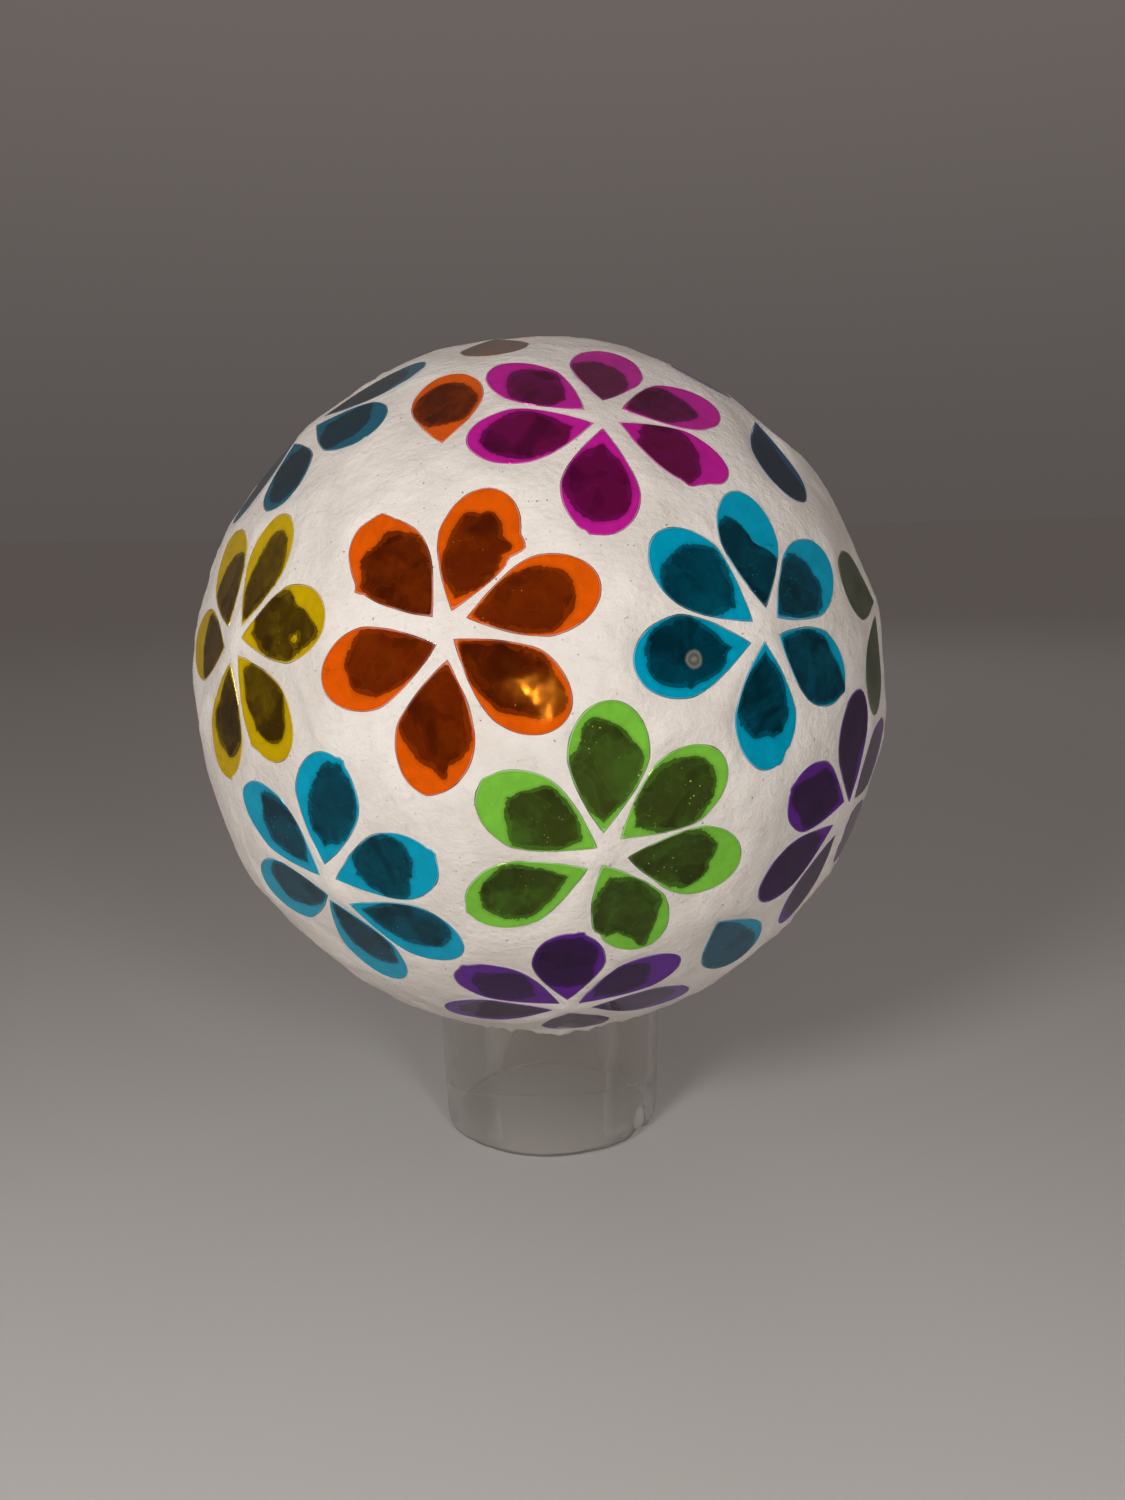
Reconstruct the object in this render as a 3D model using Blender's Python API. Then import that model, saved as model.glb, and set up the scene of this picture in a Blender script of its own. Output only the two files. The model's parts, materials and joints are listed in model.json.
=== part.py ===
"""A mosaic decorative ball.

A hollow ball of clear glass stands on its own short open neck. White grout covers the ball, and flat
drop-shaped petals of coloured glass are bedded in the grout. Six petals make a flower.

Lengths are in metres, +Z is up, and the neck's rim stands on z = 0 with the ball's axis on Z.
"""

import math
import random

import bmesh
import bpy
from mathutils import Matrix, Vector

# The glass ball and its neck
GLOBE_RADIUS = 0.0735           # outside of the blown ball
GLASS_WALL = 0.0022
BALL_HEIGHT = 0.1040            # from the rim up to the ball's centre
NECK_RIM_RADIUS = 0.0254        # outside of the neck at the rim
NECK_TOP_RADIUS = 0.0266        # outside of the neck where it meets the ball
NECK_FILLET = 0.0030            # radius of the corner between neck and ball

# The grout
FIT_GAP = 0.0003                # between any two pieces that touch
GROUT_THICKNESS = 0.0022
HEM_DROP = 0.0025               # from the fillet's end down to the grout's lower edge on the neck
HEM_THICKNESS = 0.0012

# The petals. The pattern covers the arc from the top of the ball down to the neck's fillet. It is drawn in
# degrees, a petal's length and width too, and is stretched to fit that arc on the ball as it is.
PATTERN_ANGLE = 157.2           # the whole arc, as drawn
PETAL_LONG_ANGLE = 17.34
PETAL_WIDE_ANGLE = 10.55
SPACE_ANGLE = 0.75              # one unit of the space between a flower's middle and a petal's tip
PETAL_THICKNESS = 0.0023
FAR_PETAL_SCALE = 0.96          # petals on the unseen side, against those in view
WIDEST_AT = 0.58                # share of the length between the tip and the widest place
TIP_POWER = 1.5                 # how full the sides are between the tip and the widest place
FUSED_SINK = 0.0005             # how much less deep the petals cast in one with the grout are bedded

# How finely the round shapes are divided
ROUND_SIDES = 32
BALL_STEPS = 14
FILLET_STEPS = 2
PETAL_SIDE_STEPS = 2            # along each side of a petal, tip to widest place
PETAL_END_STEPS = 3             # along each quarter of its round end
FUSED_SIDE_STEPS = 1            # the same for the petals cast in one with the grout
FUSED_END_STEPS = 2

COLOURS = {
    "orange": (0.62, 0.11, 0.01),
    "magenta": (0.40, 0.02, 0.25),
    "yellow": (0.50, 0.40, 0.01),
    "cyan": (0.01, 0.28, 0.45),
    "green": (0.17, 0.45, 0.08),
    "purple": (0.11, 0.02, 0.20),
    "teal": (0.01, 0.12, 0.18),
    "olive": (0.10, 0.13, 0.05),
    "brown": (0.19, 0.08, 0.04),
}

# Flowers in view. Each has a name, a colour, the longitude and latitude of its middle in degrees, its
# petals in view and, on two flowers, those that lie round the edge, out of view. Longitude 0 faces the
# viewer and grows to the right; latitude grows upwards. A petal has its bearing from the flower's middle
# (clockwise from up, in degrees), the space between that middle and its tip (in space units), a twist
# about its own middle (degrees), and, where it is cut smaller, its share of the usual length and width.
FLOWERS = [
    ("orange", "orange", -12, 14.5,
     [(318, 4, 1), (13, 4, 2), (66, 4, 6), (126, 1.5, -1), (188, 4.5, 3), (249, 2.5, 5)]),
    ("magenta", "magenta", 13, 46.5,
     [(18, 5.5, 0), (68, 5.5, 3), (116, 3.5, 2, 0.96, 0.93), (190, 3, 2), (262, 1.5, 6),
      (322, 3.5, 2, 0.98, 0.96)]),
    ("yellow", "yellow", -50, 12,
     [(321, 5, 3), (13, 4, -4, 0.97, 0.97), (71, 2.5, 4), (138, 2.5, 0), (195, 3.5, -1), (268, 4, 2)]),
    ("cyan_left", "cyan", -35.5, -22,
     [(17, 5.5, -1), (318, 2, -7), (72, 4, 5), (122, 5.5, -3), (172, 3, -4), (250, 1, 9)]),
    ("green", "green", 7.5, -15,
     [(4, 4.5, 0), (54, 4.5, 2), (103, 5, 1), (157, 2, -3), (239, 3.5, 5), (303, 1.5, -4)]),
    ("cyan_right", "cyan", 32.5, 13,
     [(6, 4.5, -2, 0.98, 0.97), (314, 3.5, 2), (261, 4, 5), (184, 1.5, -3), (116, 3, 4, 0.92, 1),
      (57, 4, 2)]),
    ("purple_right", "purple", 54.5, -14.5,
     [(285, 2.5, -2, 0.92, 1), (233, 6, 0, 0.94, 0.94), (189, 6.5, -3, 0.96, 0.88), (354, 0.5, -2),
      (66, 3, -3), (125, 5, 0)]),
    ("purple_low", "purple", 4, -47.5,
     [(358, 3.5, 1, 0.97, 0.97), (301, 2.5, -3, 0.97, 0.96), (247, 3.5, 2, 0.98, 0.93),
      (58, 2.5, 0, 0.97, 0.93), (110, 5, 1, 0.98, 0.93), (171, 4, 0)]),
    ("teal", "teal", -63.5, 47.9,
     [(82, 4.2, 2), (142, 3, -12, 0.95, 0.97), (208, 2.5, -14, 0.97, 1), (31, 4.6, -1)],
     [(266, 4, 0), (324, 4, 0)]),
    ("olive", "olive", 72, 14,
     [(292, 3.2, 0, 0.91, 1), (226, 4.9, -16, 0.92, 1)],
     [(30, 4, 0), (85, 4, 0), (141, 4, 0)]),
]

# Single petals in view: name, colour, longitude and latitude of their middle, bearing from tip to round
# end, and their share of the usual length and width.
SINGLES = [
    ("orange_single", "orange", -19.5, 50.5, 347, 0.97, 0.97),
    ("cyan_single", "cyan", 35.6, -35.9, 137, 1, 1),
    ("blue_single", "teal", 53.1, 39.6, 204, 0.97, 1),
    ("brown_single", "brown", -20, 73, 160, 0.96, 0.97),
]

# Flowers on the unseen side: colour, longitude, latitude and the bearing of the first of six petals.
FAR_FLOWERS = [
    ("orange", 206, 81, 6),
    ("purple", 88, 56, 54),
    ("cyan", 150, 50, 42),
    ("green", 222, 45, 57),
    ("orange", 121, 21, 3),
    ("magenta", 170, 15, 48),
    ("yellow", 211, 10, 3),
    ("orange", 258, 23, 42),
    ("yellow", 102, -15, 0),
    ("green", 143, -10, 18),
    ("teal", 185, -20, 54),
    ("purple", 237, -14, 51),
    ("magenta", 277, -11, 54),
    ("orange", 76, -47, 21),
    ("magenta", 143, -47, 18),
    ("cyan", 218, -47, 33),
    ("green", 284, -47, 18),
]
FAR_TIP_SPACE = 3.2             # space units between a far flower's middle and its petals' tips
SPACE_SPREAD = 0.4              # space units by which that varies
TURN_SPREAD = 2                 # degrees, by which a far petal's bearing and twist vary
FAR_SINGLES = [
    (260, 52, 180), (255, -35, 240), (188, 37, 60), (179, -48, 150), (117, -34, 210), (212, -18, 30),
    (93, 28, 150),
]
FAR_SINGLE_SCALE = 0.93

# What follows from the sizes above
GROUT_INSIDE = GLOBE_RADIUS + FIT_GAP
GROUT_OUTSIDE = GROUT_INSIDE + GROUT_THICKNESS
PETAL_BED = GLOBE_RADIUS + FIT_GAP
PETAL_FACE = PETAL_BED + PETAL_THICKNESS
FILLET_OUT = NECK_TOP_RADIUS + NECK_FILLET              # the fillet's centre, from the axis
FILLET_REACH = GLOBE_RADIUS + NECK_FILLET               # and from the ball's centre
FILLET_HEIGHT = BALL_HEIGHT - math.sqrt(FILLET_REACH ** 2 - FILLET_OUT ** 2)
HEM_HEIGHT = FILLET_HEIGHT - HEM_DROP
TOP_TO_FILLET = math.pi - math.asin(FILLET_OUT / FILLET_REACH)
STRETCH = TOP_TO_FILLET / PATTERN_ANGLE                 # radians on the ball for a drawn degree
PETAL_LENGTH = PETAL_LONG_ANGLE * STRETCH * GROUT_OUTSIDE
PETAL_WIDTH = PETAL_WIDE_ANGLE * STRETCH * GROUT_OUTSIDE


def direction(longitude, latitude):
    """The unit vector from the ball's centre to a place on the pattern; longitude 0 looks towards -Y."""
    a = math.radians(longitude)
    b = math.pi / 2 - (90 - latitude) * STRETCH
    return Vector((math.sin(a) * math.cos(b), -math.cos(a) * math.cos(b), math.sin(b)))


def east_north(out):
    east = Vector((0, 0, 1)).cross(out).normalized()
    return east, out.cross(east)


def petal_frame(out, along):
    """Axes of a petal: +X from its tip to its round end, +Z away from the ball."""
    across = out.cross(along)
    return Matrix((along, across, out)).transposed()


def petal_on_flower(longitude, latitude, bearing, space, twist, length):
    """The frame of a petal that points away from its flower's middle."""
    middle = direction(longitude, latitude)
    east, north = east_north(middle)
    b = math.radians(bearing)
    heading = math.sin(b) * east + math.cos(b) * north
    a = space * SPACE_ANGLE * STRETCH + length / 2 / GROUT_OUTSIDE
    out = math.cos(a) * middle + math.sin(a) * heading
    along = math.cos(a) * heading - math.sin(a) * middle
    return petal_frame(out, Matrix.Rotation(-math.radians(twist), 3, out) @ along)


def petal_alone(longitude, latitude, bearing):
    out = direction(longitude, latitude)
    east, north = east_north(out)
    b = math.radians(bearing)
    return petal_frame(out, math.sin(b) * east + math.cos(b) * north)


def drop_outline(length, width, side_steps, end_steps):
    """A drop from its tip round its wide end, anticlockwise; X runs from tip to end about its middle."""
    widest = WIDEST_AT * length
    half = []
    for i in range(side_steps + 1):
        u = i / side_steps
        half.append((u * widest, width / 2 * (1 - (1 - u) ** TIP_POWER)))
    for i in range(1, end_steps + 1):
        a = math.pi / 2 * i / end_steps
        half.append((widest + (length - widest) * math.sin(a), width / 2 * math.cos(a)))
    lower = [(x - length / 2, -y) for x, y in half]
    upper = [(x - length / 2, y) for x, y in half[1:-1]]
    return lower + upper[::-1]


def grown(outline, by):
    """The outline with each side moved outwards by the same distance."""
    result = []
    count = len(outline)
    for i in range(count):
        before = Vector(outline[i - 1])
        here = Vector(outline[i])
        after = Vector(outline[(i + 1) % count])
        one = (here - before).normalized()
        two = (after - here).normalized()
        n1 = Vector((one.y, -one.x))
        n2 = Vector((two.y, -two.x))
        corner = (n1 + n2) / (1 + n1.dot(n2))
        result.append(tuple(here + corner * by))
    return result


def add_slab(bm, outline, face, low, high, frame=None):
    """A closed slab between two distances from the ball's centre, which lies at (0, 0, 0).

    The outline is its size at the distance called face, and its edges slant towards the ball's centre,
    so that the space between neighbours stays even all the way down.
    """
    rings = []
    for z in (low, high):
        ring = []
        for x, y in outline:
            point = Vector((x * z / face, y * z / face, z))
            ring.append(bm.verts.new(frame @ point if frame else point))
        rings.append(ring)
    bm.faces.new(rings[0][::-1])
    bm.faces.new(rings[1])
    count = len(outline)
    for i in range(count):
        j = (i + 1) % count
        bm.faces.new((rings[0][i], rings[0][j], rings[1][j], rings[1][i]))


def arc(centre, radius, first, last, steps):
    """Points of an arc in the (radius, height) half plane, angles in radians from the downward axis."""
    points = []
    for i in range(steps + 1):
        a = first + (last - first) * i / steps
        points.append((centre[0] + radius * math.sin(a), centre[1] - radius * math.cos(a)))
    return points


def neck_radius(height):
    """Outside of the neck at a height, below its fillet."""
    return NECK_RIM_RADIUS + (NECK_TOP_RADIUS - NECK_RIM_RADIUS) * height / FILLET_HEIGHT


def skin_from_top(offset, bottom):
    """Profile of the glass moved outwards by offset, from the top of the ball down to a height."""
    lean = math.pi - TOP_TO_FILLET
    points = arc((0, BALL_HEIGHT), GLOBE_RADIUS + offset, math.pi, lean, BALL_STEPS)
    points[0] = (0, points[0][1])
    inner = NECK_FILLET - offset
    points += arc((FILLET_OUT, FILLET_HEIGHT), -inner, lean, math.pi / 2, FILLET_STEPS)[1:]
    points.append((neck_radius(bottom) + offset, bottom))
    return points


def grout_from_top():
    """Outer profile of the grout: the ball, then the hem down to its lower edge."""
    foot = neck_radius(HEM_HEIGHT) + FIT_GAP + HEM_THICKNESS
    shoulder = FILLET_OUT + FIT_GAP + HEM_THICKNESS / 2
    lean = math.asin(shoulder / GROUT_OUTSIDE)
    points = arc((0, BALL_HEIGHT), GROUT_OUTSIDE, math.pi, lean, BALL_STEPS)
    points[0] = (0, points[0][1])
    middle = ((shoulder + foot) / 2, (points[-1][1] + HEM_HEIGHT) / 2 - HEM_THICKNESS / 4)
    return points + [middle, (foot, HEM_HEIGHT)]


def turned(name, profile):
    """A closed solid turned about Z from a profile that starts and ends on the axis."""
    bm = bmesh.new()
    rings = []
    for r, z in profile:
        if r < 1e-6:
            rings.append([bm.verts.new((0, 0, z))])
            continue
        ring = []
        for k in range(ROUND_SIDES):
            a = 2 * math.pi * k / ROUND_SIDES
            ring.append(bm.verts.new((r * math.cos(a), r * math.sin(a), z)))
        rings.append(ring)
    for upper, lower in zip(rings, rings[1:]):
        for k in range(ROUND_SIDES):
            j = (k + 1) % ROUND_SIDES
            above = [upper[j % len(upper)], upper[k % len(upper)]]
            below = [lower[k % len(lower)], lower[j % len(lower)]]
            bm.faces.new(list(dict.fromkeys(above + below)))
    bmesh.ops.recalc_face_normals(bm, faces=bm.faces)
    mesh = bpy.data.meshes.new(name)
    bm.to_mesh(mesh)
    bm.free()
    mesh.shade_smooth()
    mesh.set_sharp_from_angle(angle=math.radians(40))
    return mesh


def glass_material(name, colour, roughness):
    material = bpy.data.materials.new(name)
    material.use_nodes = True
    shader = material.node_tree.nodes["Principled BSDF"]
    shader.inputs["Base Color"].default_value = (*colour, 1)
    shader.inputs["Roughness"].default_value = roughness
    shader.inputs["Metallic"].default_value = 0
    return material


def add_object(name, mesh, material, place=None):
    obj = bpy.data.objects.new(name, mesh)
    bpy.context.scene.collection.objects.link(obj)
    if place:
        obj.matrix_world = place
    obj.data.materials.clear()
    obj.data.materials.append(material)
    return obj


def helper(name, bm):
    """A mesh that only cuts or joins, and isn't a piece itself."""
    bmesh.ops.recalc_face_normals(bm, faces=bm.faces)
    mesh = bpy.data.meshes.new(name)
    bm.to_mesh(mesh)
    bm.free()
    obj = bpy.data.objects.new(name, mesh)
    bpy.context.scene.collection.objects.link(obj)
    obj.location = (0, 0, BALL_HEIGHT)
    obj.hide_render = True
    obj.display_type = "WIRE"
    return obj


def petals_in_view():
    """Each petal in view: name, colour, frame, length and width."""
    result = []
    for flower, colour, longitude, latitude, petals, *hidden in FLOWERS:
        for number, (bearing, space, twist, *cut) in enumerate(petals, 1):
            long_share, wide_share = cut or (1, 1)
            length = PETAL_LENGTH * long_share
            frame = petal_on_flower(longitude, latitude, bearing, space, twist, length)
            result.append((f"petal_{flower}_{number}", colour, frame, length, PETAL_WIDTH * wide_share))
    for name, colour, longitude, latitude, bearing, long_share, wide_share in SINGLES:
        frame = petal_alone(longitude, latitude, bearing)
        result.append((f"petal_{name}", colour, frame, PETAL_LENGTH * long_share, PETAL_WIDTH * wide_share))
    return result


def petals_out_of_view():
    """Frame, length and width of each petal that is cast in one with the grout."""
    chance = random.Random(5)
    result = []
    length = PETAL_LENGTH * FAR_PETAL_SCALE
    width = PETAL_WIDTH * FAR_PETAL_SCALE
    for flower, colour, longitude, latitude, petals, *hidden in FLOWERS:
        for bearing, space, twist in sum(hidden, []):
            frame = petal_on_flower(longitude, latitude, bearing, space, twist, length)
            result.append((frame, length, width))
    for colour, longitude, latitude, first in FAR_FLOWERS:
        for k in range(6):
            bearing = first + 60 * k + chance.uniform(-TURN_SPREAD, TURN_SPREAD)
            space = FAR_TIP_SPACE + chance.uniform(-SPACE_SPREAD, SPACE_SPREAD)
            twist = chance.uniform(-TURN_SPREAD, TURN_SPREAD)
            frame = petal_on_flower(longitude, latitude, bearing, space, twist, length)
            result.append((frame, length, width))
    length = PETAL_LENGTH * FAR_SINGLE_SCALE
    width = PETAL_WIDTH * FAR_SINGLE_SCALE
    for longitude, latitude, bearing in FAR_SINGLES:
        result.append((petal_alone(longitude, latitude, bearing), length, width))
    return result


for old in list(bpy.data.objects):
    bpy.data.objects.remove(old)

materials = {"clear": glass_material("clear_glass", (0.85, 0.87, 0.86), 0.05),
             "grout": glass_material("white_grout", (0.62, 0.58, 0.55), 0.85)}
for colour, value in COLOURS.items():
    materials[colour] = glass_material(f"{colour}_glass", value, 0.1)

# The ball and its neck are one piece of glass: the outer skin down to the rim, then the inner skin back up.
outside = skin_from_top(0, 0)
inside = skin_from_top(-GLASS_WALL, 0)
add_object("glass_globe", turned("glass_globe", outside + inside[::-1]), materials["clear"])

# The petals in view are pieces of their own. Those of one size share a mesh.
seen = petals_in_view()
shared = {}
pockets = bmesh.new()
for name, colour, frame, length, width in seen:
    outline = drop_outline(length, width, PETAL_SIDE_STEPS, PETAL_END_STEPS)
    key = (colour, round(length, 6), round(width, 6))
    if key not in shared:
        bm = bmesh.new()
        add_slab(bm, outline, PETAL_FACE, PETAL_BED, PETAL_FACE)
        mesh = bpy.data.meshes.new(name)
        bm.to_mesh(mesh)
        bm.free()
        shared[key] = mesh
    place = Matrix.Translation((0, 0, BALL_HEIGHT)) @ frame.to_4x4()
    add_object(name, shared[key], materials[colour], place)
    below_grout = GLOBE_RADIUS - 2 * GLASS_WALL
    above_grout = GROUT_OUTSIDE + PETAL_THICKNESS
    add_slab(pockets, grown(outline, FIT_GAP), PETAL_FACE, below_grout, above_grout, frame)

# The petals out of view stand out of the grout by as much as the others, and are one with it.
joined = bmesh.new()
for frame, length, width in petals_out_of_view():
    outline = drop_outline(length, width, FUSED_SIDE_STEPS, FUSED_END_STEPS)
    add_slab(joined, outline, PETAL_FACE, PETAL_BED + FUSED_SINK, PETAL_FACE, frame)

# The grout is a shell over the glass, with a pocket for each petal in view.
grout_profile = grout_from_top() + skin_from_top(FIT_GAP, HEM_HEIGHT)[::-1]
grout = add_object("grout", turned("grout", grout_profile), materials["grout"])
cut = grout.modifiers.new("pockets", "BOOLEAN")
cut.operation = "DIFFERENCE"
cut.solver = "EXACT"
cut.use_self = True
cut.object = helper("petal_pockets", pockets)
join = grout.modifiers.new("petals out of view", "BOOLEAN")
join.operation = "UNION"
join.solver = "EXACT"
join.use_self = True
join.object = helper("petals_out_of_view", joined)
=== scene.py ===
# %% [markdown]
# # A ball of glass petals
#
# This lesson dresses a mosaic ball for a room or a garden. A hollow ball of clear blown glass
# stands on its own short neck. Flat drops of coloured glass are glued round it as flowers, six to
# a flower, and white grout fills the space between them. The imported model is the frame: it says
# where each piece is, and how big.

# %% Load the frame
import json
import math
import random

import bmesh
import bpy
import numpy as np
from mathutils import Matrix, Vector, noise
from mathutils.geometry import delaunay_2d_cdt

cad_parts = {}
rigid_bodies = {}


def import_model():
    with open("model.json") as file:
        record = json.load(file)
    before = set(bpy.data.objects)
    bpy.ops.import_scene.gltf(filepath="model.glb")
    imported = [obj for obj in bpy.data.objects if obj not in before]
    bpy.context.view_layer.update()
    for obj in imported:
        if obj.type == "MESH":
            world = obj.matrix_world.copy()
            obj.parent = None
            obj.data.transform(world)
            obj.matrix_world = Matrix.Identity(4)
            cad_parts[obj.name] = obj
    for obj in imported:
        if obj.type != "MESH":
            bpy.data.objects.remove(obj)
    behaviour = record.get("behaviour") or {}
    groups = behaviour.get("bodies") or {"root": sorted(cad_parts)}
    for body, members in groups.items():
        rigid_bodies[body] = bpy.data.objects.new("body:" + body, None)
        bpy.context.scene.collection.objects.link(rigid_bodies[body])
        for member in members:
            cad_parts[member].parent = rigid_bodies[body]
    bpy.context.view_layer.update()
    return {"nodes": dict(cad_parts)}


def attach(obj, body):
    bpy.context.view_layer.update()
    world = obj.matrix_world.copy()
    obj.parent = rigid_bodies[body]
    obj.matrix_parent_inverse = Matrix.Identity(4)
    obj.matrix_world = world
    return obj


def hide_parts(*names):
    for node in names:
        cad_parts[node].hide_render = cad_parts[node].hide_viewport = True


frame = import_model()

print("frame:", len(frame["nodes"]), "nodes")

# %% [markdown]
# ## Sizes
#
# All lengths are in metres, and `MM` turns millimetres into metres. The ball's centre is on the Z
# axis, and every place on the ball is a longitude and a latitude, as on a globe. Longitude 0
# faces the viewer.

# %% Sizes of the ball, its neck and the petals
MM = 0.001
CENTRE = Vector((0, 0, 0.1040))     # of the ball
GLOBE = 73.5 * MM                   # outside of the glass ball
WALL = 2.2 * MM
NECK_RIM = 25.4 * MM                # outside of the neck at its rim
NECK_TOP = 26.6 * MM                # and where it meets the ball
FILLET = 3.0 * MM                   # radius of the corner between neck and ball
GAP = 0.3 * MM                      # between pieces that touch in the frame
BED = GLOBE + GAP                   # underside of petals and grout
GROUT = BED + 2.2 * MM              # outside of the grout
FACE = BED + 2.3 * MM               # upper face of a petal, at its middle
PETAL = (23.0 * MM, 14.0 * MM)      # the usual length and width in the frame
TRUE_PETAL = (23.4 * MM, 14.4 * MM)  # and as cut, which leaves no more than a hairline round it
WIDEST = 0.58                       # share of the length from the tip to the widest place
FILLET_OUT = NECK_TOP + FILLET
FILLET_REACH = GLOBE + FILLET
FILLET_UP = CENTRE.z - math.sqrt(FILLET_REACH ** 2 - FILLET_OUT ** 2)
TOP_TO_FILLET = math.pi - math.asin(FILLET_OUT / FILLET_REACH)
DRAWN_ARC = 157.2                   # degrees from the top to the fillet, as the pattern is drawn
STRETCH = TOP_TO_FILLET / DRAWN_ARC  # radians on the ball for a drawn degree
SPACE = 0.75 * STRETCH              # radians for a unit of the space at a petal's tip
print("fillet ends", round(math.degrees(TOP_TO_FILLET), 1), "degrees from the top")
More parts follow.
